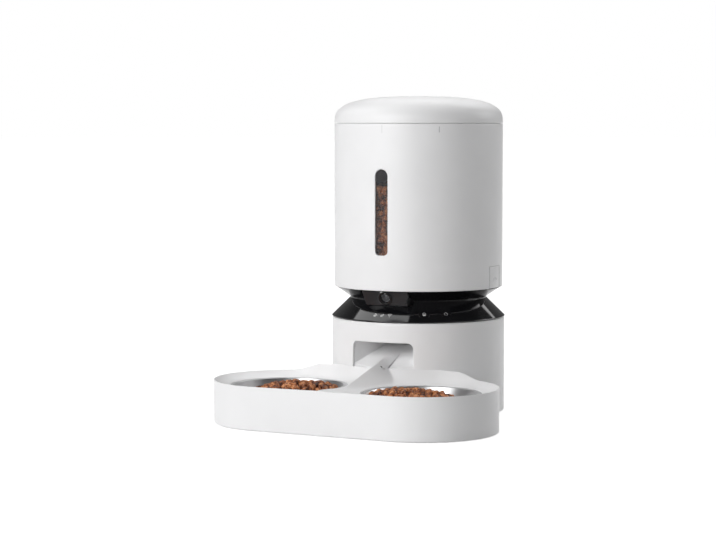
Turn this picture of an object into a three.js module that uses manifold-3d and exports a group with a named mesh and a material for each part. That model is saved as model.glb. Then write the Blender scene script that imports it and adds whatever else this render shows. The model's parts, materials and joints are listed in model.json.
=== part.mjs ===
// Camera pet feeder: a round base with a black waist and a camera, a food hopper that lifts off,
// a twist-on lid, a geared drive that turns a paddle wheel, and a slide-on tray with two bowls.
// Millimetres, +Z up. The axis of the base is x = 0, y = 0, and the bowls lie in front, towards -Y.
// The whole group is then moved back, so that the origin is under the middle of its outline.
import * as THREE from 'three';
import { mergeVertices } from 'three/addons/utils/BufferGeometryUtils.js';
import Module from 'manifold-3d';

const wasm = await Module();
wasm.setup();

// Gaps, overruns and facets that all pieces share
const gap = 0.3;
const slideGap = 0.6;
const overrun = 2;
const mergeDistance = 0.0001;
const roundSides = 40;
const bowlSides = 36;
const mediumSides = 24;
const smallSides = 16;
const tinySides = 10;

// Base shell
const baseRadius = 95;
const baseWall = 2.5;
const baseBottom = 1.2;
const baseTop = 103.6;
const baseChamfer = 0.8;
const outletWidth = 72.4;
const outletBottom = 48;
const outletHeight = 34.4;
const outletTop = outletBottom + outletHeight;
const outletCorner = 6.5;

// Base plate, its feet and screws
const plateBottom = 1.5;
const plateThickness = 2.5;
const footRadius = 7;
const footRecess = 1;
const footTurn = 32;
const footInset = 15;
const footCircle = baseRadius - footInset;
const screwInset = 8;
const screwCircle = baseRadius - screwInset;
const screwTurns = [68, 112, -50, -130];
const screwBossRadius = 4;
const screwBossTop = 30;
const screwRadius = 1.35;
const screwHeadRadius = 2.9;
const screwHeadHeight = 0.9;
const screwLength = 14;

// Battery bay for three large round cells, side by side
const baySocketRoom = 5.6;
const bayLength = 66;
const bayCornerRoom = 2.7563;
const bayTop = 39;
const bayWall = 2.3;
const doorThickness = 2;
const doorLatchWidth = 16;
const doorLatchDepth = 7;
const contactThickness = 0.8;
const contactLow = 12;
const contactHigh = 32;
const contactMargin = 4;

// Black waist: a lower cone, the control ring, and an upper cone with the deck for the hopper
const lipProud = 0.6;
const lipRadius = baseRadius + lipProud;
const lipRise = 1.6;
const lipHeight = baseTop + lipRise;
const lipChamfer = 0.3;
const waistSet = 20.9;
const waistRadius = lipRadius - waistSet;
const lowerConeRise = 20.3;
const waistHeight = lipHeight + lowerConeRise;
const waistWall = 2.5;
const ringSpigotWall = 1.8;
const ringSpigotLength = 6.9;
const skirtWall = 2.2;
const skirtLength = 4.8;
const rimSet = 4.4;
const rimRadius = lipRadius - rimSet;
const upperConeRise = 11.5;
const rimHeight = waistHeight + upperConeRise;
const deckThickness = 2.5;
const deckSpigotWall = 2.6;
const deckSpigotHeight = 5.5;
const dropFrontRoom = 3;
const dropGearRoom = 1.1;

// Buttons, status lights and their boards, placed by the turn from the front towards +X
const buttonInset = 7.9;
const buttonCircle = lipRadius - buttonInset;
const feedTurn = 29.7;
const networkTurn = 45.2;
const buttonRadius = 5;
const buttonFlangeRadius = 5.9;
const buttonFlangeHeight = 1.2;
const buttonStemRadius = 1.5;
const buttonStemLength = 2.2;
const buttonTravel = 0.8;
const boardThickness = 1.6;
const boardBossRadius = 2.5;
const controlBoardWidth = 46;
const controlBoardDepth = 12;
const controlBossSpacing = 41;
const statusInset = 6.1;
const statusCircle = lipRadius - statusInset;
const statusSpacing = 8.6;
const statusCount = 3;
const lightPostRadius = 1.8;
const lightPostHeight = 2.2;
const lightBarLength = 22;
const lightBarWidth = 5;
const lightBarHeight = 2;
const statusBoardWidth = 34;
const statusBoardDepth = 10;
const statusBossSpacing = 28;

// Camera in the front of the waist: its face leans forward at the top
const faceSet = 10.3;
const faceTopReach = lipRadius - faceSet;
const faceLean = 7;
const faceBottomReach = faceTopReach - faceLean;
const faceDrop = 16.1;
const faceBottomHeight = rimHeight - faceDrop;
const housingWidth = 55.2;
const faceTopRoom = 1.6;
const faceTopWidth = housingWidth - faceTopRoom;
const faceTaper = 4.8;
const faceBottomWidth = faceTopWidth - faceTaper;
const housingSet = 11.7;
const housingReach = waistRadius - housingSet;
const housingWall = 2;
const lensRise = 7.9;
const lensHeight = faceBottomHeight + lensRise;
const bezelRadius = 7.9;
const bezelHeight = 1;
const bezelBarrelRadius = 6.4;
const bezelBarrelLength = 4.7;
const lensBore = 5.7;
const lensThickness = 1.6;
const lensBulge = 0.9;
const sensorBoardWidth = 15;
const sensorBoardHeight = 6;
const sensorSize = 5;
const sensorHeight = 1;
const lightSensorRadius = 0.9;
const lightSensorLength = 3;
const lightSensorX = -3.3;
const lightSensorRise = 14.1;
const lightSensorHeight = faceBottomHeight + lightSensorRise;

// Outlet chute
const chuteWall = 2;
const chuteMouthSet = 2;
const chuteMouth = baseRadius - chuteMouthSet;
const chuteMouthRise = 6.7;
const chuteMouthHeight = outletBottom + chuteMouthRise;
const chuteSlope = 21.4;
const chuteSideRoom = 1;
const chuteFanRun = 12;
const chuteFrontWidth = outletWidth;
const chuteFanSet = 7;
const chuteFanEnd = baseRadius - chuteFanSet;
const chuteCeilingRise = 9.6;
const chuteCeiling = outletTop + chuteCeilingRise;
const chuteFrontRise = 1.8;
const chuteCeilingFront = outletTop + chuteFrontRise;

// Drive: motor, pinion and output gear
const gearModule = 1;
const outputTeeth = 42;
const pinionTeeth = 14;
const pressureAngle = 20;
const gearBacklash = 0.2;
const addendumShare = 0.9;
const dedendumShare = 1.25;
const gearDrop = 17;
const gearBottom = rimHeight - gearDrop;
const gearHeight = 6;
const outputShaftRadius = 5;
const pinionShaftRadius = 2.5;
const pinionShaftLength = 7;
const couplerWidth = 12;
const couplerHeight = 16;
const couplerRise = 4;
const couplerStart = rimHeight + couplerRise;
const motorRadius = 14;
const motorLength = 30;
const motorCapRadius = 10;
const motorCapLength = 4;
const bracketThickness = 2.5;
const bracketDrop = 2;
const bracketWidth = 56;
const bracketFront = -19;
const bracketBack = 50;
const bracketCorner = 5;
const bracketPostRadius = 3;
const coverRise = 1.5;
const coverThickness = 2;
const bushingWall = 1.6;
const bushingFlangeRadius = 9;
const bushingFlangeHeight = 1.2;

// Power socket, main board and speaker in the base
const socketHeight = 16;
const socketBarrelRadius = 5.2;
const socketBarrelLength = 8;
const socketRecess = 0.6;
const socketBodyWidth = 12;
const socketBodyHeight = 14;
const socketBodyLength = 16;
const socketBore = 3.1;
const socketBoreDepth = 9;
const socketPinRadius = 1.1;
const mainBoardSideRoom = 16;
const mainBoardEndRoom = 12;
const mainBoardLength = bayLength - mainBoardEndRoom;
const mainBoardStandoff = 3.7;
const standoffRadius = 3;
const chipHeight = 3;
const speakerRadius = 18;
const speakerReach = 47;
const speakerRimHeight = 2.7;
const speakerRimWidth = 2;
const speakerMagnetRadius = 9;
const speakerBasketHeight = 6;
const speakerMagnetHeight = 6;
const grilleHoleRadius = 1.4;
const grilleCircle = 9;
const grilleHoles = 6;

// Hopper
const hopperProud = 1.25;
const hopperRadius = rimRadius + hopperProud;
const hopperWall = 2.25;
const hopperHeight = 178.7;
const hopperTop = rimHeight + hopperHeight;
const hopperEdge = 0.6;
const mouthFlangeWidth = 5.2;
const mouthFlangeDrop = 4.2;
const mouthFlangeTop = hopperTop - mouthFlangeDrop;
const mouthFlangeHeight = 2.5;
const windowWidth = 14.7;
const windowHeight = 91.7;
const windowRise = 4.2;
const windowCorner = 4.5;
const paneFlange = 2.5;
const paneFlangeThickness = 1.5;
const floorRise = 5.4;
const chamberSet = 30.45;
const chamberRadius = hopperRadius - chamberSet;
const chamberWall = 2.3;
const chamberRise = 10;
const chamberBottom = rimHeight + chamberRise;
const chamberFloor = 2.5;
const chamberHeight = 18.7;
const chamberTop = chamberBottom + chamberHeight;
const floorOuterHeight = chamberTop + floorRise;
const windowBottom = floorOuterHeight + windowRise;
const windowTop = windowBottom + windowHeight;
const slopeThickness = 2.5;
const spoutWall = 1.8;
const spoutRise = 1;
const spoutBottom = rimHeight + spoutRise;
const roofTurn = 36;
const roofRise = 1.3;
const roofBottom = chamberTop + roofRise;
const roofThickness = 2.5;
const roofSet = 12.45;
const roofOuter = hopperRadius - roofSet;
const hubRadius = 12;
const hubRoom = 2.6;
const roofInner = hubRadius + hubRoom;
const hubRise = 6.3;
const hubTop = chamberTop + hubRise;
const hubNose = 3;
const hubSocketDepth = 17;
const vaneCount = 6;
const vaneRoom = 1.5;
const vaneReach = chamberRadius - vaneRoom;
const vaneThickness = 2;
const vaneSleeve = 2;
const vaneRise = 0.3;
const vaneTop = chamberTop + vaneRise;

// Release buttons at both sides of the hopper
const releaseWidth = 25.2;
const releaseHeight = 24.2;
const releaseTop = rimHeight + releaseHeight;
const releaseBottomRise = 0.6;
const releasePlate = 2.05;
const releaseTravel = 3;
const releaseBridgeRise = 11.5;
const releaseBridgeLow = rimHeight + releaseBridgeRise;
const releaseBridgeHeight = 3;
const releaseArmWidth = 16;
const releaseArmSet = 13.15;
const releaseArmOuter = hopperRadius - releaseArmSet;
const releaseArmThickness = 2;
const releaseNoseHeight = 2.2;
const catchWidth = 18;
const catchSet = 7.95;
const catchOuter = hopperRadius - catchSet;
const catchPostThickness = 2;
const catchLip = 1.5;
const catchRise = 9;
const catchTop = rimHeight + catchRise;
const catchLipHeight = 2;

// Lid
const lidSeam = 0.3;
const lidRise = 30.3;
const lidStraight = 1;
const lidPower = 2.9;
const lidSteps = 7;
const lidInnerSteps = 3;
const lidWall = 2.5;
const linerRise = 2.3;
const linerTop = hopperTop + linerRise;
const linerDisc = 2;
const linerWall = 2.2;
const linerDepth = 15;
const linerBottom = linerTop - linerDepth;
const linerRimThickness = 2.4;
const lugCount = 3;
const lugWidth = 24;
const lugSet = 3.95;
const lugReach = hopperRadius - lugSet;
const lugRoomBelow = 0.5;
const lugTop = mouthFlangeTop - mouthFlangeHeight - lugRoomBelow;
const lugHeight = 3;
const lugTurn = 60;
const sealHeight = 3.5;
const cupRadius = 34;
const cupWall = 2;
const cupDepth = 14;
const cupBottom = linerTop - cupDepth;
const cupCapThickness = 1.9;
const cupCapPlug = 4;
const cupSlotCount = 5;
const cupSlotWidth = 3;
const cupSlotLength = 30;
const cupSlotPitch = 8;

// Tray
const bowlEdgeRadius = 62.7;
const trayRimWidth = 17.1;
const trayEndRadius = bowlEdgeRadius + trayRimWidth;
const trayWaistSet = 2.2;
const bowlOffset = trayEndRadius - trayWaistSet;
const baseClearance = 0.4;
const bowlApron = 14.7;
const bowlAway = baseRadius + baseClearance + bowlApron + bowlEdgeRadius;
const bowlReach = Math.sqrt(bowlAway ** 2 - bowlOffset ** 2);
const trayWall = 3;
const trayBottom = 0.8;
const bowlEdgeHeight = 40;
const trayRimRise = 7.2;
const trayRimHeight = bowlEdgeHeight + trayRimRise;
const trayRimRound = 3;
const trayRimDrop = 1.6;
const trayLipRise = 6.5;
const trayLipHeight = outletBottom + trayLipRise;
const trayLipRun = 2.4;
const trayLipHalf = bowlOffset + trayLipRun;
const trayFallRun = 36.4;
const trayFallHalf = bowlOffset + trayFallRun;
const scoopPower = 1.7;
const midLowRise = 3.4;
const midLow = bowlEdgeHeight + midLowRise;
const midLowRun = 13.6;
const midLowReach = bowlReach + midLowRun;
const crestRise = 15;
const crestHeight = outletBottom + crestRise;
const crestSet = 2.8;
const crestReach = baseRadius - crestSet;
const crestSlope = 0.236;
const flankSlope = 0.82;
const ridgeBlend = 1.6;
const collarDepth = 10;
const collarBottom = bowlEdgeHeight - collarDepth;
const ledgeWidth = 3.2;
const ledgeHeight = 2.5;
const pegX = 30;
const pegWidth = 8;
const pegBottom = 10;
const pegHeight = 6;
const pegLength = 7;
const trayFootRadius = 6;
const trayFootTurn = 45;
const trayPadRadius = 8;
const trayPadHeight = 3;
const trayStationShares = [0, 0.3, 0.6, 0.86, 1];
const cavityStationShares = [0, 0.35, 0.7, 1];
const cornerSteps = 5;
const wallSteps = 16;

// Wedge in the outlet that splits the food between the bowls
const dividerHalf = 9.5;
const dividerSet = 34;
const dividerBack = baseRadius - dividerSet;
const dividerRise = 5.6;
const dividerBackHeight = crestHeight + dividerRise;
const dividerEdge = 0.7;
const tabHalf = 7.5;
const tabRise = 0.5;
const tabBottom = outletBottom + tabRise;
const tabThickness = 2.4;
const tabTop = tabBottom + tabThickness;
const tabRun = 8.5;
const tabReach = baseRadius + tabRun;
const tabScrewX = 5;
const tabScrewRun = 6;
const tabScrewReach = baseRadius + tabScrewRun;
const tabScrewHole = 1.3;
const tabBossRadius = 3;
const tabScrewLength = 6;

// Bowls
const bowlRimRoom = 0.4;
const bowlRimRadius = bowlEdgeRadius - bowlRimRoom;
const bowlSheet = 1;
const bowlRimWidth = 4.1;
const bowlMouthRadius = bowlRimRadius - bowlRimWidth;
const bowlFloorSet = 10.2;
const bowlFloorRadius = bowlMouthRadius - bowlFloorSet;
const bowlFloorCurve = 3;
const bowlFloorRise = 1.5;
const bowlBottom = 14;

// Finishes
const whitePlastic = { color: 0xf1f1f2, roughness: 0.45, metalness: 0 };
const innerPlastic = { color: 0xd9dadc, roughness: 0.5, metalness: 0 };
const blackGloss = { color: 0x0b0b0d, roughness: 0.12, metalness: 0 };
const smokedPlastic = { color: 0x2c2c30, roughness: 0.1, metalness: 0, transparent: true, opacity: 0.5 };
const lensGlass = { color: 0x3c4048, roughness: 0.05, metalness: 0 };
const bowlSteel = { color: 0xc9cbcd, roughness: 0.25, metalness: 1 };
const springSteel = { color: 0xb9bcc0, roughness: 0.3, metalness: 1 };
const bushingBrass = { color: 0xb9944c, roughness: 0.35, metalness: 1 };
const greyRubber = { color: 0x55565a, roughness: 0.85, metalness: 0 };
const sealRubber = { color: 0xb9bbbd, roughness: 0.7, metalness: 0 };
const gearNylon = { color: 0xe6e1d3, roughness: 0.5, metalness: 0 };
const vaneRubber = { color: 0xcfcdc7, roughness: 0.7, metalness: 0 };
const boardGreen = { color: 0x1f5a3a, roughness: 0.5, metalness: 0 };
const motorGrey = { color: 0x8d9094, roughness: 0.35, metalness: 0.9 };
const lightWhite = { color: 0xf4f4ef, roughness: 0.3, metalness: 0 };

// Turning a geometry into a solid, and a solid back into a geometry

function signedVolume(positions, triangles) {
  const corners = [new THREE.Vector3(), new THREE.Vector3(), new THREE.Vector3()];
  let sum = 0;
  for (let first = 0; first < triangles.length; first += 3) {
    corners.forEach((corner, place) => corner.fromArray(positions, triangles[first + place] * 3));
    sum += corners[0].dot(corners[1].clone().cross(corners[2]));
  }
  return sum;
}

function toSolid(shape) {
  if (!shape.isBufferGeometry) return shape;
  const bare = new THREE.BufferGeometry();
  bare.setAttribute('position', shape.getAttribute('position'));
  bare.setIndex(shape.getIndex());
  const merged = mergeVertices(bare, mergeDistance);
  const positions = new Float32Array(merged.getAttribute('position').array);
  const triangles = [];
  const index = merged.getIndex().array;
  for (let first = 0; first < index.length; first += 3) {
    const [a, b, c] = index.slice(first, first + 3);
    if (a !== b && b !== c && c !== a) triangles.push(a, b, c);
  }
  if (signedVolume(positions, triangles) < 0) triangles.reverse();
  const mesh = new wasm.Mesh({
    numProp: 3,
    vertProperties: positions,
    triVerts: new Uint32Array(triangles),
  });
  return new wasm.Manifold(mesh);
}

function toGeometry(solid) {
  const mesh = solid.getMesh();
  const geometry = new THREE.BufferGeometry();
  geometry.setAttribute('position', new THREE.BufferAttribute(mesh.vertProperties, 3));
  geometry.setIndex(new THREE.BufferAttribute(mesh.triVerts, 1));
  geometry.computeVertexNormals();
  return geometry;
}

function join(...shapes) {
  return shapes.map(toSolid).reduce((whole, shape) => whole.add(shape));
}

function cut(body, ...tools) {
  return tools.map(toSolid).reduce((rest, tool) => rest.subtract(tool), toSolid(body));
}

function common(first, second) {
  return toSolid(first).intersect(toSolid(second));
}

// Basic shapes

function turned(profile, sides = roundSides) {
  const points = profile.map(([radius, height]) => new THREE.Vector2(radius, height));
  if (profile[0][0] > 0) points.push(points[0].clone());
  const geometry = new THREE.LatheGeometry(points, sides);
  geometry.rotateX(Math.PI / 2);
  return geometry;
}

function rod(radius, low, high, sides = smallSides) {
  return turned([[0, low], [radius, low], [radius, high], [0, high]], sides);
}

function tube(inner, outer, low, high, sides = roundSides) {
  return turned([[inner, low], [outer, low], [outer, high], [inner, high]], sides);
}

function block(low, high) {
  const size = high.map((value, axis) => value - low[axis]);
  const geometry = new THREE.BoxGeometry(...size);
  geometry.translate(...high.map((value, axis) => (value + low[axis]) / 2));
  return geometry;
}

function outline(points) {
  return new THREE.Shape(points.map(([u, v]) => new THREE.Vector2(u, v)));
}

function roundedRectangle(width, low, high, corner) {
  const half = width / 2;
  const shape = new THREE.Shape();
  shape.moveTo(-half + corner, low);
  shape.lineTo(half - corner, low);
  shape.absarc(half - corner, low + corner, corner, -Math.PI / 2, 0);
  shape.lineTo(half, high - corner);
  shape.absarc(half - corner, high - corner, corner, 0, Math.PI / 2);
  shape.lineTo(-half + corner, high);
  shape.absarc(-half + corner, high - corner, corner, Math.PI / 2, Math.PI);
  shape.lineTo(-half, low + corner);
  shape.absarc(-half + corner, low + corner, corner, Math.PI, Math.PI * 1.5);
  return shape;
}

function extruded(shape, depth) {
  return new THREE.ExtrudeGeometry(shape, { depth, bevelEnabled: false, curveSegments: 6 });
}

// A shape drawn in x and y, between two heights
function upright(shape, low, high) {
  return extruded(shape, high - low).translate(0, 0, low);
}

// A shape drawn in x and z, between two values of y
function frontal(shape, low, high) {
  return extruded(shape, high - low).rotateX(Math.PI / 2).translate(0, high, 0);
}

// A shape drawn in y and z, between two values of x
function sideways(shape, low, high) {
  const turn = new THREE.Matrix4();
  turn.makeBasis(new THREE.Vector3(0, 1, 0), new THREE.Vector3(0, 0, 1), new THREE.Vector3(1, 0, 0));
  return extruded(shape, high - low).applyMatrix4(turn).translate(low, 0, 0);
}

// A body through rings of as many points each, closed by a flat cap at both ends
function loft(rings) {
  const count = rings[0].length;
  const positions = rings.flat(2);
  const triangles = [];
  for (let ring = 0; ring + 1 < rings.length; ring += 1) {
    for (let point = 0; point < count; point += 1) {
      const next = (point + 1) % count;
      const here = ring * count;
      const there = here + count;
      triangles.push(here + point, here + next, there + next);
      triangles.push(here + point, there + next, there + point);
    }
  }
  const last = (rings.length - 1) * count;
  for (let point = 1; point + 1 < count; point += 1) {
    triangles.push(0, point + 1, point);
    triangles.push(last, last + point, last + point + 1);
  }
  const geometry = new THREE.BufferGeometry();
  geometry.setAttribute('position', new THREE.Float32BufferAttribute(positions, 3));
  geometry.setIndex(triangles);
  return geometry;
}

const radians = THREE.MathUtils.degToRad;

function atTurn(radius, turn) {
  return [radius * Math.cos(radians(turn)), radius * Math.sin(radians(turn))];
}

function placed(geometry, matrix) {
  return geometry.clone().applyMatrix4(matrix);
}

function piece(name, shape, finish) {
  const mesh = new THREE.Mesh(toGeometry(toSolid(shape)), new THREE.MeshStandardMaterial(finish));
  mesh.name = name;
  return mesh;
}

function groupOf(...members) {
  const group = new THREE.Group();
  group.add(...members.flat());
  return group;
}

// Sizes that several pieces share, worked out from the named ones
const shellBore = baseRadius - baseWall;
const plateTop = plateBottom + plateThickness;
const ringBottom = baseTop + gap;
const ringSpigotOuter = shellBore - gap;
const ringSpigotInner = ringSpigotOuter - ringSpigotWall;
const coneSlope = Math.atan2(waistHeight - lipHeight, lipRadius - waistRadius);
const coneWallAcross = waistWall / Math.sin(coneSlope);
const skirtInner = waistRadius - waistWall - skirtWall - gap;
const skirtOuter = skirtInner + skirtWall;
const upperConeStart = waistHeight + gap;
const deckTop = rimHeight + deckThickness;
const hopperBore = hopperRadius - hopperWall;
const hopperBottom = rimHeight + gap;
const deckSpigotOuter = hopperBore - slideGap;
const deckSpigotInner = deckSpigotOuter - deckSpigotWall;
const housingTop = rimHeight - gap;
const faceTilt = Math.atan2(faceTopReach - faceBottomReach, housingTop - faceBottomHeight);
const boardDepth = waistWall + buttonFlangeHeight + buttonStemLength + buttonTravel + 4 * gap;
const bracketTop = gearBottom - bracketDrop;
const coverBottom = gearBottom + gearHeight + coverRise;
const gearDistance = gearModule * (outputTeeth + pinionTeeth) / 2;
const socketBack = shellBore - 2 * gap;
const bayBack = socketBack - socketBodyLength - baySocketRoom - bayWall;
const bayFront = bayBack - bayLength;
const bayCornerReach = shellBore - gap - bayCornerRoom;
const bayHalf = Math.sqrt(bayCornerReach ** 2 - (bayBack + bayWall) ** 2) - bayWall;
const mainBoardWidth = 2 * bayHalf - mainBoardSideRoom;
const speakerCentre = bayFront - speakerReach;
const bayRoof = bayTop + bayWall;
const outputReach = gearModule * (outputTeeth / 2 + addendumShare);
const dropFront = dropFrontRoom - chamberRadius;
const dropBack = -(outputReach + chuteWall + dropGearRoom);
const dropSize = dropBack - dropFront;
const dropCentre = (dropFront + dropBack) / 2;
const chuteBack = -dropBack;
const chuteBackWidth = dropSize + 2 * chuteSideRoom;
const chuteFanStart = chuteBack + chuteFanRun;

// Height of the lower cone's outer face at a radius
function coneHeight(radius) {
  return lipHeight + (lipRadius - radius) * Math.tan(coneSlope);
}

// A frame on the lower cone: z out of its face, x round it, the origin at a radius and a turn
function onCone(radius, turn) {
  const angle = radians(turn);
  const across = new THREE.Vector3(Math.cos(angle), Math.sin(angle), 0);
  const outward = new THREE.Vector3(Math.sin(angle), -Math.cos(angle), 0);
  const normal = outward.clone().multiplyScalar(Math.sin(coneSlope));
  normal.z = Math.cos(coneSlope);
  const upslope = normal.clone().cross(across);
  const frame = new THREE.Matrix4().makeBasis(across, upslope, normal);
  return frame.setPosition(outward.x * radius, outward.y * radius, coneHeight(radius));
}

// A frame on the camera's face: z out of it, the origin at the lens
function onFace(x, height) {
  const reach = faceBottomReach + (height - faceBottomHeight) * Math.tan(faceTilt);
  const across = new THREE.Vector3(1, 0, 0);
  const normal = new THREE.Vector3(0, -Math.cos(faceTilt), -Math.sin(faceTilt));
  const frame = new THREE.Matrix4().makeBasis(across, normal.clone().cross(across), normal);
  return frame.setPosition(x, -reach, height);
}

const feedFrame = onCone(buttonCircle, feedTurn);
const networkFrame = onCone(buttonCircle, networkTurn);
const controlFrame = onCone(buttonCircle, (feedTurn + networkTurn) / 2);
const statusFrame = onCone(statusCircle, 0);
const lensFrame = onFace(0, lensHeight);
const lightSensorFrame = onFace(lightSensorX, lightSensorHeight);

// Base shell, with the outlet, the peg slots, the socket hole and the screw bosses inside

function screwBoss(turn) {
  const low = plateTop + gap;
  const post = rod(screwBossRadius, low, screwBossTop, tinySides).translate(screwCircle, 0, 0);
  const web = block(
    [screwCircle, -screwBossRadius / 2, low],
    [shellBore + baseWall / 2, screwBossRadius / 2, screwBossTop],
  );
  return [post, web].map((shape) => shape.rotateZ(radians(turn)));
}

function screwBore(turn) {
  const bore = rod(screwRadius + gap, plateTop, plateBottom + screwLength + overrun, tinySides);
  return bore.translate(...atTurn(screwCircle, turn), 0);
}

function pegSlot(x) {
  const half = pegWidth / 2 + slideGap;
  const low = [x - half, -baseRadius - overrun, pegBottom - slideGap];
  const high = [x + half, -baseRadius + pegLength + baseWall + overrun, pegBottom + pegHeight + slideGap];
  return block(low, high);
}

function baseShell() {
  const shell = turned([
    [shellBore, baseBottom],
    [baseRadius - baseChamfer, baseBottom],
    [baseRadius, baseBottom + baseChamfer],
    [baseRadius, baseTop],
    [shellBore, baseTop],
  ]);
  const outlet = roundedRectangle(outletWidth, outletBottom, outletTop, outletCorner);
  const outletCut = frontal(outlet, -baseRadius - overrun, -baseRadius / 2);
  const socketHole = rod(socketBarrelRadius + gap, baseRadius / 2, baseRadius + overrun);
  socketHole.rotateX(-Math.PI / 2).translate(0, 0, socketHeight);
  return cut(
    join(shell, ...screwTurns.flatMap(screwBoss)),
    ...screwTurns.map(screwBore),
    outletCut,
    pegSlot(-pegX),
    pegSlot(pegX),
    socketHole,
  );
}

// Base plate with the battery bay, open below

function footPlaces() {
  const turns = [footTurn, 180 - footTurn, 180 + footTurn, -footTurn];
  return turns.map((turn) => atTurn(footCircle, turn));
}

function grille() {
  const holes = [rod(grilleHoleRadius, -overrun, plateTop + overrun, tinySides)];
  for (let hole = 0; hole < grilleHoles; hole += 1) {
    const [x, y] = atTurn(grilleCircle, hole * 360 / grilleHoles);
    holes.push(holes[0].clone().translate(x, y, 0));
  }
  return holes.map((hole) => hole.clone().translate(0, speakerCentre, 0));
}

function standoffPlaces() {
  const x = mainBoardWidth / 2 - standoffRadius;
  const y = mainBoardLength / 2 - standoffRadius;
  const middle = (bayFront + bayBack) / 2;
  return [[x, middle + y], [-x, middle + y], [-x, middle - y], [x, middle - y]];
}

function basePlate() {
  const disc = rod(shellBore - gap, plateBottom, plateTop, roundSides);
  const bay = block(
    [-bayHalf - bayWall, bayFront - bayWall, plateBottom],
    [bayHalf + bayWall, bayBack + bayWall, bayRoof],
  );
  const inside = block([-bayHalf, bayFront, -overrun], [bayHalf, bayBack, bayTop]);
  const standoffs = standoffPlaces().map(([x, y]) => (
    rod(standoffRadius, bayRoof - bayWall / 2, bayRoof + mainBoardStandoff, tinySides).translate(x, y, 0)
  ));
  const recesses = footPlaces().map(([x, y]) => (
    rod(footRadius + gap, -overrun, plateBottom + footRecess).translate(x, y, 0)
  ));
  const headDepth = plateBottom + screwHeadHeight + gap;
  const screwHoles = screwTurns.map((turn) => atTurn(screwCircle, turn)).map(([x, y]) => (
    join(
      rod(screwRadius + gap, -overrun, plateTop + overrun, tinySides),
      rod(screwHeadRadius + gap, -overrun, headDepth, tinySides),
    ).translate([x, y, 0])
  ));
  return cut(join(disc, bay, ...standoffs), inside, ...recesses, ...screwHoles, ...grille());
}

function batteryDoor() {
  const plate = block(
    [-bayHalf + gap, bayFront + gap, plateBottom + gap],
    [bayHalf - gap, bayBack - gap, plateBottom + gap + doorThickness],
  );
  const latch = block(
    [-doorLatchWidth / 2, bayBack - gap - doorLatchDepth, -overrun],
    [doorLatchWidth / 2, bayBack + overrun, plateBottom + gap + doorThickness + overrun],
  );
  const tongue = block(
    [-doorLatchWidth / 2 + slideGap, bayBack - gap - doorLatchDepth - slideGap, plateBottom + gap],
    [doorLatchWidth / 2 - slideGap, bayBack - slideGap, plateBottom + gap + doorThickness / 2],
  );
  return join(cut(plate, latch), tongue);
}

function batteryContact(face, inward) {
  const near = face + inward * gap;
  const far = near + inward * contactThickness;
  return block(
    [-bayHalf + contactMargin, Math.min(near, far), contactLow],
    [bayHalf - contactMargin, Math.max(near, far), contactHigh],
  );
}

function plateScrew([x, y]) {
  const headLow = plateBottom + gap / 2;
  const screw = turned([
    [0, headLow],
    [screwHeadRadius, headLow],
    [screwHeadRadius, headLow + screwHeadHeight],
    [screwRadius, headLow + screwHeadHeight],
    [screwRadius, plateBottom + screwLength],
    [0, plateBottom + screwLength],
  ], tinySides);
  return screw.translate(x, y, 0);
}

function baseFoot([x, y]) {
  return rod(footRadius, 0, plateBottom + footRecess - gap).translate(x, y, 0);
}

// Control ring: the lower black cone, with holes for the two buttons and bosses for the boards

function boardBosses(frame, circle, spacing) {
  const fall = (Math.hypot(circle, spacing / 2) - circle) * Math.sin(coneSlope);
  return [-spacing / 2, spacing / 2].map((x) => {
    const boss = rod(boardBossRadius, -boardDepth, -fall - waistWall / 2, tinySides);
    return placed(boss.translate(x, 0, 0), frame);
  });
}

function cameraNotch(low) {
  const half = housingWidth / 2 + gap;
  return block([-half, -baseRadius - overrun, low], [half, -housingReach + overrun, rimHeight]);
}

function controlRing() {
  const throat = skirtOuter + gap;
  const ring = turned([
    [ringSpigotInner, ringBottom - ringSpigotLength],
    [ringSpigotOuter, ringBottom - ringSpigotLength],
    [ringSpigotOuter, ringBottom],
    [lipRadius - lipChamfer, ringBottom],
    [lipRadius, lipHeight],
    [waistRadius, waistHeight],
    [throat, waistHeight],
    [throat, coneHeight(throat + coneWallAcross)],
    [ringSpigotInner, coneHeight(ringSpigotInner + coneWallAcross)],
  ]);
  const buttonHole = rod(buttonRadius + gap, -waistWall - overrun, overrun);
  return cut(
    join(
      ring,
      ...boardBosses(controlFrame, buttonCircle, controlBossSpacing),
      ...boardBosses(statusFrame, statusCircle, statusBossSpacing),
    ),
    placed(buttonHole, feedFrame),
    placed(buttonHole, networkFrame),
    cameraNotch(faceBottomHeight - gap),
  );
}

function pressButton(frame) {
  const flangeTop = -waistWall - 2 * gap;
  const flangeLow = flangeTop - buttonFlangeHeight;
  const cap = turned([
    [0, flangeLow - buttonStemLength],
    [buttonStemRadius, flangeLow - buttonStemLength],
    [buttonStemRadius, flangeLow],
    [buttonFlangeRadius, flangeLow],
    [buttonFlangeRadius, flangeTop],
    [buttonRadius, flangeTop],
    [buttonRadius, -gap / 2],
    [0, -gap / 2],
  ], smallSides);
  return placed(cap, frame);
}

function board(frame, width, depth) {
  const top = -boardDepth - gap;
  const plate = block([-width / 2, -depth / 2, top - boardThickness], [width / 2, depth / 2, top]);
  return placed(plate, frame);
}

function lightGuide() {
  const low = -boardDepth;
  const barTop = low + lightBarHeight;
  const bar = block(
    [-lightBarLength / 2, -lightBarWidth / 2, low],
    [lightBarLength / 2, lightBarWidth / 2, barTop],
  );
  const posts = [];
  for (let light = 0; light < statusCount; light += 1) {
    const x = (light - (statusCount - 1) / 2) * statusSpacing;
    const post = rod(lightPostRadius, low + lightBarHeight / 2, barTop + lightPostHeight, tinySides);
    posts.push(post.translate(x, 0, 0));
  }
  return placed(toGeometry(join(bar, ...posts)), statusFrame);
}

// Upper cone with the deck, the spigot that centres the hopper and the two catches

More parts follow.
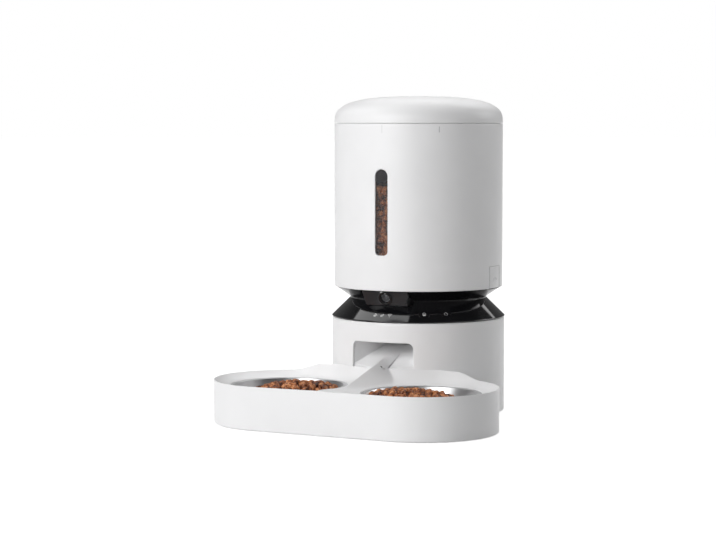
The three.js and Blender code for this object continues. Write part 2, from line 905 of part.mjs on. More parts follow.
function nearSides(halfWidth, inner, low, high) {
  return [-1, 1].map((side) => {
    const reach = [side * inner, side * (baseRadius + overrun)].sort((a, b) => a - b);
    return block([reach[0], -halfWidth, low], [reach[1], halfWidth, high]);
  });
}

function catches() {
  const post = catchOuter - catchPostThickness;
  const ring = turned([
    [post, deckTop - deckThickness / 2],
    [catchOuter, deckTop - deckThickness / 2],
    [catchOuter, catchTop],
    [post - catchLip, catchTop],
    [post - catchLip, catchTop - catchLipHeight],
    [post, catchTop - catchLipHeight],
  ]);
  return nearSides(catchWidth / 2, baseRadius / 2, rimHeight, catchTop + overrun)
    .map((side) => common(ring, side));
}

function waistCone() {
  const rise = rimHeight - upperConeStart;
  const spread = rimRadius - waistRadius;
  const wallAcross = waistWall * Math.hypot(rise, spread) / rise;
  const skirtBottom = upperConeStart - skirtLength;
  const innerStart = upperConeStart + (skirtInner + wallAcross - waistRadius) * rise / spread;
  const cone = turned([
    [0, rimHeight],
    [rimRadius - wallAcross, rimHeight],
    [skirtInner, innerStart],
    [skirtInner, skirtBottom],
    [skirtOuter, skirtBottom],
    [skirtOuter, upperConeStart],
    [waistRadius, upperConeStart],
    [rimRadius, rimHeight],
    [deckSpigotOuter, rimHeight],
    [deckSpigotOuter, deckTop + deckSpigotHeight],
    [deckSpigotInner, deckTop + deckSpigotHeight],
    [deckSpigotInner, deckTop],
    [0, deckTop],
  ]);
  const drop = block(
    [-dropSize / 2, dropFront, rimHeight - overrun],
    [dropSize / 2, dropBack, deckTop + overrun],
  );
  const shaftHole = rod(outputShaftRadius + bushingWall + 2 * gap, rimHeight - overrun, deckTop + overrun);
  const plateCorner = Math.sqrt((hopperRadius - releasePlate) ** 2 - (releaseWidth / 2) ** 2);
  const releaseInner = plateCorner - releaseTravel - slideGap;
  const releaseRoom = nearSides(releaseWidth / 2 + slideGap, releaseInner, rimHeight, catchTop + overrun);
  return join(
    cut(cone, drop, shaftHole, cameraNotch(upperConeStart - skirtLength - overrun), ...releaseRoom),
    ...catches(),
  );
}

// Camera housing, bezel, lens, sensor board and light sensor

function housingBody(inset, back) {
  const lean = inset / Math.cos(faceTilt);
  const top = housingTop - inset;
  const low = faceBottomHeight + inset;
  const topReach = -faceTopReach + lean + inset * Math.tan(faceTilt);
  const lowReach = -faceBottomReach + lean - inset * Math.tan(faceTilt);
  const topHalf = faceTopWidth / 2 - inset;
  const lowHalf = faceBottomWidth / 2 - inset;
  const backHalf = housingWidth / 2 - inset;
  return loft([
    [
      [-lowHalf, lowReach, low], [lowHalf, lowReach, low],
      [topHalf, topReach, top], [-topHalf, topReach, top],
    ],
    [[-backHalf, back, low], [backHalf, back, low], [backHalf, back, top], [-backHalf, back, top]],
  ]);
}

function cameraHousing() {
  const lensHole = rod(bezelBarrelRadius + gap, -bezelBarrelLength - gap, overrun, mediumSides);
  const lightHole = rod(lightSensorRadius + gap, -lightSensorLength - overrun, overrun, tinySides);
  return cut(
    housingBody(0, -housingReach),
    housingBody(housingWall, -housingReach + overrun),
    placed(lensHole, lensFrame),
    placed(lightHole, lightSensorFrame),
  );
}

function lensBezel() {
  const seat = bezelHeight - lensThickness;
  const ring = turned([
    [lensBore, seat - gap],
    [lensBore - housingWall / 2, seat - gap],
    [lensBore - housingWall / 2, -bezelBarrelLength],
    [bezelBarrelRadius, -bezelBarrelLength],
    [bezelBarrelRadius, gap],
    [bezelRadius, gap],
    [bezelRadius, bezelHeight],
    [lensBore, bezelHeight],
  ], mediumSides);
  return placed(ring, lensFrame);
}

function lensPane() {
  const edge = bezelHeight - lensThickness;
  const radius = lensBore - gap;
  const faceShares = [1, 0.8, 0.5];
  const face = faceShares.map((share) => (
    [radius * share, bezelHeight - lensBulge + lensBulge * Math.sqrt(1 - share * share)]
  ));
  const pane = turned([[0, edge], [radius, edge], ...face, [0, bezelHeight]], mediumSides);
  return placed(pane, lensFrame);
}

function sensorBoard() {
  const top = -bezelBarrelLength - gap;
  const half = sensorBoardWidth / 2;
  const rise = sensorBoardHeight / 2;
  const plate = block([-half, -rise, top - boardThickness], [half, rise, top]);
  const chip = block(
    [-sensorSize / 2, -sensorSize / 2, top - boardThickness / 2],
    [sensorSize / 2, sensorSize / 2, top + sensorHeight],
  );
  return placed(toGeometry(join(plate, chip)), lensFrame);
}

function lightSensor() {
  return placed(rod(lightSensorRadius, -lightSensorLength, 0, tinySides), lightSensorFrame);
}

// Chute from the drop hole to the outlet: a square duct over a floor that widens like a fan

function chuteFloor(y) {
  return chuteMouthHeight + (y + chuteMouth) * Math.tan(radians(chuteSlope));
}

function chutePassage(wall, front, top) {
  const rise = wall / Math.cos(radians(chuteSlope));
  const back = -chuteBack + wall;
  const halfBack = chuteBackWidth / 2 + wall;
  const halfFront = chuteFrontWidth / 2 + wall;
  const fanShare = (front - chuteFanStart) / (chuteFanEnd - chuteFanStart);
  const halfMouth = halfBack + (halfFront - halfBack) * fanShare;
  const plan = outline([
    [-halfBack, back], [-halfBack, -chuteFanStart], [-halfMouth, -front],
    [halfMouth, -front], [halfBack, -chuteFanStart], [halfBack, back],
  ]);
  const ceilingSlope = (chuteCeiling - chuteCeilingFront) / (chuteMouth - chuteBack);
  const profile = outline([
    [-front, chuteFloor(-front) - rise],
    [back, chuteFloor(back) - rise],
    [back, chuteCeiling + wall],
    [-front, chuteCeiling + wall - (front - chuteBack) * ceilingSlope],
  ]);
  const fan = common(
    upright(plan, chuteFloor(-front) - rise - overrun, chuteCeiling + wall + overrun),
    sideways(profile, -halfMouth - overrun, halfMouth + overrun),
  );
  const half = dropSize / 2 + wall;
  const duct = block([-half, dropFront - wall, chuteCeilingFront], [half, dropBack + wall, top]);
  return join(fan, duct);
}

function outletChute() {
  const outside = chutePassage(chuteWall, baseRadius, rimHeight - gap);
  const inside = chutePassage(0, baseRadius + overrun, rimHeight + overrun);
  const room = rod(shellBore - gap, 0, rimHeight, roundSides);
  return cut(common(outside, room), inside);
}

// Drive: bracket, cover, bushing, motor and the two gears

function toothAngle(teeth, radius) {
  const pitch = gearModule * teeth / 2;
  const circle = pitch * Math.cos(radians(pressureAngle));
  const involute = (angle) => Math.tan(angle) - angle;
  const flank = involute(radians(pressureAngle)) - involute(Math.acos(Math.min(1, circle / radius)));
  return Math.PI / (2 * teeth) - gearBacklash / (2 * pitch) / 2 + flank;
}

function gear(teeth, turn) {
  const pitch = gearModule * teeth / 2;
  const circle = pitch * Math.cos(radians(pressureAngle));
  const tip = pitch + gearModule * addendumShare;
  const root = pitch - gearModule * dedendumShare;
  const start = Math.max(root, circle);
  const flank = [start, (start + tip) / 2, tip];
  const points = [];
  for (let tooth = 0; tooth < teeth; tooth += 1) {
    const middle = radians(turn + tooth * 360 / teeth);
    const low = flank.map((radius) => [radius, middle - toothAngle(teeth, radius)]);
    const high = flank.map((radius) => [radius, middle + toothAngle(teeth, radius)]).reverse();
    const foot = [[root, low[0][1]], [root, high[high.length - 1][1]]];
    const ring = root < circle ? [foot[0], ...low, ...high, foot[1]] : [...low, ...high];
    points.push(...ring.map(([radius, angle]) => [radius * Math.cos(angle), radius * Math.sin(angle)]));
  }
  return upright(outline(points), gearBottom, gearBottom + gearHeight);
}

function hexagon(width, low, high) {
  const corner = width / 2 / Math.cos(Math.PI / 6);
  const points = [0, 1, 2, 3, 4, 5].map((place) => atTurn(corner, place * 60));
  return upright(outline(points), low, high);
}

function outputGear() {
  const shaft = rod(outputShaftRadius, bracketTop - bracketThickness, couplerStart);
  const coupler = hexagon(couplerWidth, couplerStart - gap, couplerStart + couplerHeight);
  return join(gear(outputTeeth, 90), shaft, coupler);
}

function drivePinion() {
  const shaft = rod(pinionShaftRadius, gearBottom - pinionShaftLength, gearBottom + gap, tinySides);
  return join(gear(pinionTeeth, -90 + 180 / pinionTeeth), shaft);
}

function postPlaces() {
  const x = bracketWidth / 2 - bracketCorner;
  return [
    [x, bracketFront + bracketCorner], [-x, bracketFront + bracketCorner],
    [x, bracketBack - bracketCorner], [-x, bracketBack - bracketCorner],
  ];
}

function drivePlate(low, thickness, postTop) {
  const middle = (bracketFront + bracketBack) / 2;
  const half = (bracketBack - bracketFront) / 2;
  const shape = roundedRectangle(bracketWidth, -half, half, bracketCorner);
  const plate = upright(shape, low, low + thickness).translate(0, middle, 0);
  const posts = postPlaces().map(([x, y]) => (
    rod(bracketPostRadius, low + thickness / 2, postTop, tinySides).translate(x, y, 0)
  ));
  return join(plate, ...posts);
}

function driveBracket() {
  const low = bracketTop - bracketThickness;
  const shaftHole = rod(outputShaftRadius + gap, low - overrun, bracketTop + overrun);
  const pinionHole = rod(pinionShaftRadius + gap, low - overrun, bracketTop + overrun, tinySides);
  const plate = drivePlate(low, bracketThickness, coverBottom - gap);
  return cut(plate, shaftHole, pinionHole.translate(0, gearDistance, 0));
}

function driveCover() {
  const plate = drivePlate(coverBottom, coverThickness, rimHeight - gap);
  const hole = rod(outputShaftRadius + gap, coverBottom - overrun, coverBottom + coverThickness + overrun);
  return cut(plate, hole);
}

function shaftBushing() {
  const bore = outputShaftRadius + gap;
  return turned([
    [bore, rimHeight - gap - bushingFlangeHeight],
    [bushingFlangeRadius, rimHeight - gap - bushingFlangeHeight],
    [bushingFlangeRadius, rimHeight - gap],
    [bore + bushingWall, rimHeight - gap],
    [bore + bushingWall, deckTop],
    [bore, deckTop],
  ], smallSides);
}

function gearmotor() {
  const top = bracketTop - bracketThickness - gap;
  const can = turned([
    [0, top - motorLength - motorCapLength],
    [motorCapRadius, top - motorLength - motorCapLength],
    [motorCapRadius, top - motorLength],
    [motorRadius, top - motorLength],
    [motorRadius, top],
    [0, top],
  ], mediumSides);
  const bore = rod(pinionShaftRadius + gap, gearBottom - pinionShaftLength - gap, top + overrun, tinySides);
  return cut(can.translate(0, gearDistance, 0), bore.translate(0, gearDistance, 0));
}

// Power socket, main board and speaker

function powerSocket() {
  const end = baseRadius - socketRecess;
  const half = socketBodyWidth / 2;
  const bodyHigh = socketHeight + socketBodyHeight / 2;
  const body = block(
    [-half, socketBack - socketBodyLength, socketHeight - socketBodyHeight / 2],
    [half, socketBack, bodyHigh],
  );
  const alongY = new THREE.Matrix4().makeRotationX(-Math.PI / 2).setPosition(0, 0, socketHeight);
  const barrel = placed(rod(socketBarrelRadius, end - socketBarrelLength, end), alongY);
  const bore = placed(rod(socketBore, end - socketBoreDepth, end + overrun), alongY);
  const pin = placed(rod(socketPinRadius, end - socketBoreDepth - gap, end - overrun, tinySides), alongY);
  return join(cut(join(body, barrel), bore), pin);
}

function mainBoard() {
  const low = bayRoof + mainBoardStandoff + gap;
  const middle = (bayFront + bayBack) / 2;
  const half = mainBoardWidth / 2;
  const plate = block(
    [-half, middle - mainBoardLength / 2, low],
    [half, middle + mainBoardLength / 2, low + boardThickness],
  );
  const chipShares = [
    [-0.55, 0.4, 0.22, 0.3], [0.3, 0.45, 0.14, 0.24],
    [0.55, -0.45, 0.26, 0.2], [-0.5, -0.5, 0.2, 0.16],
  ];
  const chips = chipShares.map(([xShare, yShare, widthShare, lengthShare]) => {
    const x = half * xShare;
    const y = middle + mainBoardLength / 2 * yShare;
    const width = half * widthShare;
    const length = mainBoardLength / 2 * lengthShare;
    const top = low + boardThickness + chipHeight;
    return block([x - width, y - length, low + boardThickness / 2], [x + width, y + length, top]);
  });
  return join(plate, ...chips);
}

function speaker() {
  const low = plateTop + gap;
  const rimTop = low + speakerRimHeight;
  const basketTop = rimTop + speakerBasketHeight;
  const coneTop = low + speakerRimHeight / 2;
  return turned([
    [0, coneTop],
    [speakerRadius - speakerRimWidth, coneTop],
    [speakerRadius - speakerRimWidth, low],
    [speakerRadius, low],
    [speakerRadius, rimTop],
    [speakerMagnetRadius, basketTop],
    [speakerMagnetRadius, basketTop + speakerMagnetHeight],
    [0, basketTop + speakerMagnetHeight],
  ], mediumSides).translate(0, speakerCentre, 0);
}

// Hopper shell and window

function windowShape(grow) {
  const half = windowWidth / 2 + grow;
  const corner = windowCorner + grow;
  const low = windowBottom - grow;
  const shape = new THREE.Shape();
  shape.moveTo(-half + corner, low);
  shape.lineTo(half - corner, low);
  shape.absarc(half - corner, low + corner, corner, -Math.PI / 2, 0);
  shape.absarc(0, windowTop - windowWidth / 2, half, 0, Math.PI);
  shape.absarc(-half + corner, low + corner, corner, Math.PI, Math.PI * 1.5);
  return shape;
}

function lugRoom(grow, low, high) {
  const half = lugWidth / 2 + grow;
  const box = block([hopperRadius / 2, -half, low], [lugReach + grow, half, high]);
  const rooms = [];
  for (let lug = 0; lug < lugCount; lug += 1) {
    rooms.push(box.clone().rotateZ(radians(lugTurn - 90 + lug * 360 / lugCount)));
  }
  return rooms;
}

function hopperShell() {
  const flangeInner = hopperBore - mouthFlangeWidth;
  const flangeLow = mouthFlangeTop - mouthFlangeHeight;
  const shell = turned([
    [hopperBore, hopperBottom],
    [hopperRadius - hopperEdge, hopperBottom],
    [hopperRadius, hopperBottom + hopperEdge],
    [hopperRadius, hopperTop - hopperEdge],
    [hopperRadius - hopperEdge, hopperTop],
    [hopperBore, hopperTop],
    [hopperBore, mouthFlangeTop],
    [flangeInner, mouthFlangeTop],
    [flangeInner, flangeLow],
    [hopperBore, flangeLow],
  ]);
  return cut(
    shell,
    frontal(windowShape(0), -hopperRadius - overrun, -hopperRadius / 2),
    ...nearSides(releaseWidth / 2 + gap, hopperRadius / 2, hopperBottom - overrun, releaseTop + gap),
    ...lugRoom(slideGap, flangeLow - overrun, mouthFlangeTop + overrun),
  );
}

function windowPane() {
  const flangeOuter = hopperBore - gap;
  const inner = flangeOuter - paneFlangeThickness;
  const low = windowBottom - paneFlange - overrun;
  const high = windowTop + paneFlange + overrun;
  const plug = common(
    frontal(windowShape(-gap), -hopperRadius, -hopperRadius / 2),
    tube(inner, hopperRadius - gap, low, high),
  );
  const flange = common(
    frontal(windowShape(paneFlange), -hopperRadius, -hopperRadius / 2),
    tube(inner, flangeOuter, low, high),
  );
  return join(plug, flange);
}

// Hopper floor: a sloped funnel, the metering chamber, its spout and the roof over the spout

function roofSector() {
  const reach = roofOuter + overrun;
  const half = reach * Math.tan(radians(roofTurn));
  const sector = outline([[0, 0], [-half, -reach], [half, -reach]]);
  const ring = tube(roofInner, roofOuter, roofBottom, roofBottom + roofThickness);
  return common(ring, upright(sector, roofBottom - overrun, roofBottom + roofThickness + overrun));
}

function hopperFloor() {
  const chamberOuter = chamberRadius + chamberWall;
  const shaftBore = couplerWidth / 2 / Math.cos(Math.PI / 6) + slideGap;
  const rim = hopperBore - gap;
  const funnel = turned([
    [shaftBore, chamberBottom],
    [chamberOuter, chamberBottom],
    [chamberOuter, chamberTop - slopeThickness],
    [rim, floorOuterHeight - slopeThickness],
    [rim, floorOuterHeight],
    [chamberRadius, chamberTop],
    [chamberRadius, chamberBottom + chamberFloor],
    [shaftBore, chamberBottom + chamberFloor],
  ]);
  const outer = dropSize / 2 - slideGap;
  const inner = outer - spoutWall;
  const spout = block(
    [-outer, dropCentre - outer, spoutBottom],
    [outer, dropCentre + outer, chamberBottom + chamberFloor / 2],
  );
  const hole = block(
    [-inner, dropCentre - inner, spoutBottom - overrun],
    [inner, dropCentre + inner, chamberBottom + chamberFloor + overrun],
  );
  return join(cut(join(funnel, spout), hole), roofSector());
}

function rotorHub() {
  const low = chamberBottom + chamberFloor + slideGap;
  const hub = turned([
    [0, low],
    [hubRadius, low],
    [hubRadius, hubTop - hubNose],
    [hubRadius - hubNose, hubTop],
    [0, hubTop],
  ], mediumSides);
  return cut(hub, hexagon(couplerWidth + slideGap, low - overrun, low + hubSocketDepth));
}

function rotorVanes() {
  const low = chamberBottom + chamberFloor + slideGap + gap;
  const inner = hubRadius + gap;
  const sleeve = tube(inner, inner + vaneSleeve, low, vaneTop, mediumSides);
  const half = vaneThickness / 2;
  const vane = block([inner + vaneSleeve / 2, -half, low], [vaneReach, half, vaneTop]);
  const vanes = [];
  for (let place = 0; place < vaneCount; place += 1) {
    vanes.push(vane.clone().rotateZ(radians(90 + place * 360 / vaneCount)));
  }
  return join(sleeve, ...vanes);
}

// Release button: a plate flush with the shell, a bridge, and an arm whose nose lies under the catch
function releaseButton(side) {
  const plateInner = hopperRadius - releasePlate;
  const plateLow = hopperBottom + releaseBottomRise / 2;
  const plate = tube(plateInner, hopperRadius, plateLow, releaseTop);
  const armInner = releaseArmOuter - releaseArmThickness;
  const noseOuter = catchOuter - catchPostThickness - catchLip - gap;
  const bridgeTop = releaseBridgeLow + releaseBridgeHeight;
  const armLow = deckTop + slideGap;
  const arm = turned([
    [armInner, armLow],
    [noseOuter, armLow],
    [noseOuter, armLow + releaseNoseHeight],
    [releaseArmOuter, armLow + releaseNoseHeight],
    [releaseArmOuter, releaseBridgeLow],
    [plateInner + releasePlate / 2, releaseBridgeLow],
    [plateInner + releasePlate / 2, bridgeTop],
    [armInner, bridgeTop],
  ]);
  const place = side > 0 ? 1 : 0;
  const plateRoom = nearSides(releaseWidth / 2, baseRadius / 2, plateLow - overrun, releaseTop + overrun);
  const armRoom = nearSides(releaseArmWidth / 2, baseRadius / 2, armLow - overrun, bridgeTop + overrun);
  return join(common(plate, plateRoom[place]), common(arm, armRoom[place]));
}

// Lid

function domeProfile(radius, base, rise, steps) {
  const points = [];
  for (let step = 0; step <= steps; step += 1) {
    const angle = Math.PI / 2 * step / steps;
    const across = step === steps ? 0 : radius * Math.cos(angle) ** (2 / lidPower);
    points.push([across, base + rise * Math.sin(angle) ** (2 / lidPower)]);
  }
  return points;
}

function lidDome() {
  const low = hopperTop + lidSeam;
  const base = low + lidStraight;
  const inner = domeProfile(hopperRadius - lidWall, base, lidRise - lidWall, lidInnerSteps).reverse();
  const outer = domeProfile(hopperRadius, base, lidRise, lidSteps);
  return turned([
    ...inner,
    [hopperRadius - lidWall, low],
    [hopperRadius - hopperEdge, low],
    [hopperRadius, low + hopperEdge],
    ...outer,
  ]);
}

function lidLiner() {
  const wallOuter = hopperBore - mouthFlangeWidth - slideGap - gap;
  const wallInner = wallOuter - linerWall;
  const discLow = linerTop - linerDisc;
  const rim = hopperRadius - lidWall - gap;
  const body = turned([
    [0, discLow],
    [wallInner, discLow],
    [wallInner, linerBottom],
    [wallOuter, linerBottom],
    [wallOuter, linerTop - linerRimThickness],
    [rim - gap, linerTop - linerRimThickness],
    [rim - gap, linerTop],
    [0, linerTop],
  ]);
  const cup = tube(cupRadius - cupWall, cupRadius, cupBottom, discLow + linerDisc / 2, mediumSides);
  const lugRing = tube(wallOuter - linerWall / 2, lugReach, lugTop - lugHeight, lugTop);
  const lugs = lugRoom(0, lugTop - lugHeight - overrun, lugTop + overrun);
  return join(body, cup, ...lugs.map((room) => common(lugRing, room)));
}

function lidSeal() {
  const inner = hopperBore - mouthFlangeWidth + slideGap;
  const outer = hopperBore - slideGap;
  return tube(inner, outer, mouthFlangeTop + gap, mouthFlangeTop + gap + sealHeight);
}

function desiccantCap() {
  const top = cupBottom - gap;
  const plugOuter = cupRadius - cupWall - gap;
  const cap = turned([
    [0, top - cupCapThickness],
    [cupRadius, top - cupCapThickness],
    [cupRadius, top],
    [plugOuter, top],
    [plugOuter, top + cupCapPlug],
    [plugOuter - cupWall, top + cupCapPlug],
    [plugOuter - cupWall, top],
    [0, top],
  ], mediumSides);
  const slots = [];
  for (let slot = 0; slot < cupSlotCount; slot += 1) {
    const y = (slot - (cupSlotCount - 1) / 2) * cupSlotPitch;
    slots.push(block(
      [-cupSlotLength / 2, y - cupSlotWidth / 2, top - cupCapThickness - overrun],
      [cupSlotLength / 2, y + cupSlotWidth / 2, top + overrun],
    ));
  }
  return cut(cap, ...slots);
}

// Tray: its top is a height over each place, highest at the base and scooped towards both bowls

function smooth(share) {
  const held = THREE.MathUtils.clamp(share, 0, 1);
  return held * held * (3 - 2 * held);
}

function trayReach(angle, inset) {
  const radius = trayEndRadius - inset;
  const inward = -Math.cos(angle);
  if (inward <= 0) return radius;
  return Math.min(radius / Math.abs(Math.sin(angle)), bowlOffset / inward);
}

// How far the base's wall is from a bowl's middle, in the directions that meet it
function wallReach(angle) {
  const toward = bowlReach * Math.sin(angle) - bowlOffset * Math.cos(angle);
  const wall = baseRadius + baseClearance;
  const chord = toward ** 2 - bowlOffset ** 2 - bowlReach ** 2 + wall ** 2;
  return toward > 0 && chord > 0 ? toward - Math.sqrt(chord) : Infinity;
}

function rimHeightAt(x, y) {
  if (x < mergeDistance) {
    const rearShare = (y + midLowReach) / (midLowReach - baseRadius);
    const frontShare = (-y - midLowReach) / (bowlReach + trayEndRadius - midLowReach);
    if (y > -midLowReach) return midLow + (trayLipHeight - midLow) * smooth(rearShare);
    return midLow + (trayRimHeight - midLow) * smooth(frontShare);
  }
  if (y < -bowlReach) return trayRimHeight;
  const fallShare = (x - trayLipHalf) / (trayFallHalf - trayLipHalf);
  return trayLipHeight + (trayRimHeight - trayLipHeight) * smooth(fallShare);
}

function trayTop(x, y) {
  const side = Math.abs(x) - bowlOffset;
  const forward = y + bowlReach;
  const distance = Math.hypot(side, forward);
  const angle = Math.atan2(forward, side);
  const reach = Math.min(trayReach(angle, 0), wallReach(angle));
  const share = THREE.MathUtils.clamp((distance - bowlEdgeRadius) / (reach - bowlEdgeRadius), 0, 1);
  const rimX = Math.max(0, bowlOffset + reach * Math.cos(angle));
  const rim = rimHeightAt(rimX, -bowlReach + reach * Math.sin(angle));
  const scoop = bowlEdgeHeight + (rim - bowlEdgeHeight) * share ** scoopPower;
  const crest = crestHeight + (y + crestReach) * crestSlope - Math.abs(x) * flankSlope;
  const apart = scoop - crest;
  const top = (scoop + crest + Math.hypot(apart, ridgeBlend)) / 2;
  const outlineGap = side > 0 ? trayEndRadius - distance : trayEndRadius - Math.abs(forward);
  const edgeShare = THREE.MathUtils.clamp(1 - outlineGap / trayRimRound, 0, 1);
  return top - trayRimDrop * edgeShare * edgeShare;
}

function span(from, to, steps) {
  return Array.from({ length: steps }, (unused, step) => from + (to - from) * step / steps);
}

// One half of the tray's body, from the bowl's edge to the outline, with its top lowered by a skin
function trayHalf(side, stationShares, inner, inset, skin, low) {
  const corner = 2 * Math.PI - Math.atan2(trayEndRadius - inset, -bowlOffset);
  const wallCorner = Math.atan2(bowlReach - baseRadius, -bowlOffset);
  const half = Math.PI / 2;
  const angles = [
    ...span(-half, half, roundSides / 2),
    ...span(half, wallCorner, wallSteps),
    ...span(wallCorner, corner, 2 * cornerSteps),
    ...span(corner, 3 * half, cornerSteps),
  ];
  const count = angles.length;
  const rows = stationShares.length;
  const stride = rows + 2;
  const positions = [];
  angles.forEach((angle) => {
    const reach = Math.min(trayReach(angle, inset), wallReach(angle) + gap);
    const ring = stationShares.map((share) => {
      const radius = inner + (reach - inner) * share;
      const away = bowlOffset + radius * Math.cos(angle);
      const x = share === 1 && Math.abs(away) < gap ? 0 : away;
      return [side * x, -bowlReach + radius * Math.sin(angle)];
    });
    ring.forEach(([x, y]) => positions.push(x, y, trayTop(x, y) - skin));
    [ring[0], ring[rows - 1]].forEach(([x, y]) => positions.push(x, y, low));
  });
  const triangles = [];
  const quad = (a, b, c, d) => triangles.push(a, b, c, a, c, d);
  for (let place = 0; place < count; place += 1) {
    const here = place * stride;
    const next = ((place + 1) % count) * stride;
    for (let row = 0; row + 1 < rows; row += 1) {
      quad(here + row, here + row + 1, next + row + 1, next + row);
    }
    quad(next + rows, next + rows + 1, here + rows + 1, here + rows);
    quad(here + rows - 1, here + rows + 1, next + rows + 1, next + rows - 1);
    quad(next, next + rows, here + rows, here);
  }
  const geometry = new THREE.BufferGeometry();
  geometry.setAttribute('position', new THREE.Float32BufferAttribute(positions, 3));
  geometry.setIndex(triangles);
  return geometry;
}

function trayBlank(...sizes) {
  return join(trayHalf(1, ...sizes), trayHalf(-1, ...sizes));
}

function bothBowls(geometry) {
  return [-1, 1].map((side) => geometry.clone().translate(side * bowlOffset, -bowlReach, 0));
}

function trayFootPlaces() {
  const circle = trayEndRadius - trayWall - trayPadRadius + trayWall / 2;
  return [-1, 1].flatMap((side) => [-trayFootTurn, trayFootTurn].map((turn) => {
    const [x, y] = atTurn(circle, turn);
    return [side * (bowlOffset + x), y - bowlReach];
  }));
}

function tray() {
  const baseRoom = (extra) => rod(baseRadius + baseClearance + extra, -overrun, rimHeight, roundSides);
  const outside = cut(trayBlank(trayStationShares, bowlEdgeRadius, 0, 0, trayBottom), baseRoom(0));
  const cavity = trayBlank(cavityStationShares, bowlEdgeRadius + trayWall, trayWall, trayWall, -overrun);
  const shell = cut(outside, cut(cavity, baseRoom(trayWall)));
  const collarCut = rod(bowlEdgeRadius + trayWall + gap, -overrun, collarBottom, roundSides);
  const ledgeTop = bowlEdgeHeight - bowlSheet - 2 * gap;
  const ledgeOuter = bowlEdgeRadius + trayWall / 2;
  const ledge = tube(bowlRimRadius - ledgeWidth, ledgeOuter, ledgeTop - ledgeHeight, ledgeTop);
  const pegs = [-pegX, pegX].map((x) => block(
    [x - pegWidth / 2, -baseRadius, pegBottom],
    [x + pegWidth / 2, -baseRadius + baseClearance + pegLength + overrun, pegBottom + pegHeight],
  ));
  const pads = trayFootPlaces().map(([x, y]) => (
    rod(trayPadRadius, trayBottom + gap + trayWall / 4, trayBottom + trayPadHeight).translate(x, y, 0)
  ));
  const boss = rod(tabBossRadius, tabTop + gap, trayLipHeight + overrun / 2, tinySides);
  const pilot = rod(tabScrewHole, tabBottom, rimHeight, tinySides);
  const slot = block(
    [-tabHalf - gap, -baseRadius - trayWall - overrun, tabBottom - gap],
    [tabHalf + gap, -baseRadius + trayWall, tabTop + gap],
  );
  const open = cut(shell, ...bothBowls(collarCut));
  const whole = join(
    open,
    ...bothBowls(ledge),
    ...pegs,
    ...pads,
    boss.translate(tabScrewX, -tabScrewReach, 0),
  );
  return cut(whole, pilot.translate(tabScrewX, -tabScrewReach, 0), slot);
}

function trayFoot([x, y]) {
  return rod(trayFootRadius, 0, trayBottom + trayWall / 4).translate(x, y, 0);
}

// Divider: a wedge on the chute's floor, with a tab that goes under the tray's top

function dividerSection(y) {
  const run = -y > crestReach ? crestSlope : (dividerBackHeight - crestHeight) / (crestReach - dividerBack);
  const crest = crestHeight + (y + crestReach) * run;
  const low = chuteFloor(y) + gap;
  const edge = low + dividerEdge;
  return [
    [-dividerHalf, y, low], [dividerHalf, y, low], [dividerHalf, y, edge],
    [0, y, crest], [-dividerHalf, y, edge],
  ];
}

function foodDivider() {
  const front = baseRadius + overrun;
  const wedge = loft([-dividerBack, -crestReach, -front].map(dividerSection));
  const plug = block(
    [-tabHalf, -front, tabBottom],
    [tabHalf, -shellBore, chuteFloor(-shellBore) + gap + dividerEdge],
  );
  const inside = rod(baseRadius + gap / 3, 0, rimHeight, roundSides);
  const tab = block([-tabHalf, -tabReach, tabBottom], [tabHalf, -shellBore - gap, tabTop]);
  const screwHole = rod(tabScrewHole + gap, tabBottom - overrun, tabTop + overrun, tinySides);
  return cut(
    join(common(join(wedge, plug), inside), tab),
    screwHole.translate(tabScrewX, -tabScrewReach, 0),
  );
}

function dividerScrew() {
  const headTop = tabBottom - gap;
  const screw = turned([
    [0, headTop - screwHeadHeight],
    [screwHeadRadius, headTop - screwHeadHeight],
    [screwHeadRadius, headTop],
    [tabScrewHole - gap, headTop],
    [tabScrewHole - gap, headTop + tabScrewLength],
    [0, headTop + tabScrewLength],
  ], tinySides);
  return screw.translate(tabScrewX, -tabScrewReach, 0);
}

// Bowl

function bowl() {
  const rimTop = bowlEdgeHeight - gap;
  const rimLow = rimTop - bowlSheet;
  const low = bowlBottom;
  return turned([
    [0, low],
    [bowlFloorRadius, low],
    [bowlFloorRadius + bowlFloorCurve, low + bowlFloorRise],
    [bowlMouthRadius, rimLow],
    [bowlRimRadius, rimLow],
    [bowlRimRadius, rimTop],
    [bowlMouthRadius - bowlSheet / 2, rimTop],
    [bowlFloorRadius + bowlFloorCurve - bowlSheet, low + bowlFloorRise + bowlSheet],
    [bowlFloorRadius - bowlSheet / 2, low + bowlSheet],
    [0, low + bowlSheet],
  ], bowlSides);
}

// The assembly, one group for each part that comes off in the hand

const screwPlaces = screwTurns.map((turn) => atTurn(screwCircle, turn));

const base = groupOf(
  piece('base_shell', baseShell(), whitePlastic),
  piece('base_plate', basePlate(), innerPlastic),
  piece('battery_door', batteryDoor(), innerPlastic),
  piece('battery_contact_front', batteryContact(bayFront, 1), springSteel),
  piece('battery_contact_rear', batteryContact(bayBack, -1), springSteel),
  footPlaces().map((place, number) => piece(`base_foot_${number + 1}`, baseFoot(place), greyRubber)),
  screwPlaces.map((place, number) => piece(`plate_screw_${number + 1}`, plateScrew(place), springSteel)),
  piece('power_socket', powerSocket(), blackGloss),
  piece('main_board', mainBoard(), boardGreen),
  piece('speaker', speaker(), motorGrey),
  piece('outlet_chute', outletChute(), whitePlastic),
);

const waist = groupOf(
  piece('control_ring', controlRing(), blackGloss),
  piece('waist_cone', waistCone(), blackGloss),
  piece('feed_button', pressButton(feedFrame), blackGloss),
  piece('network_button', pressButton(networkFrame), blackGloss),
  piece('control_board', board(controlFrame, controlBoardWidth, controlBoardDepth), boardGreen),
  piece('status_board', board(statusFrame, statusBoardWidth, statusBoardDepth), boardGreen),
  piece('light_guide', lightGuide(), lightWhite),
);

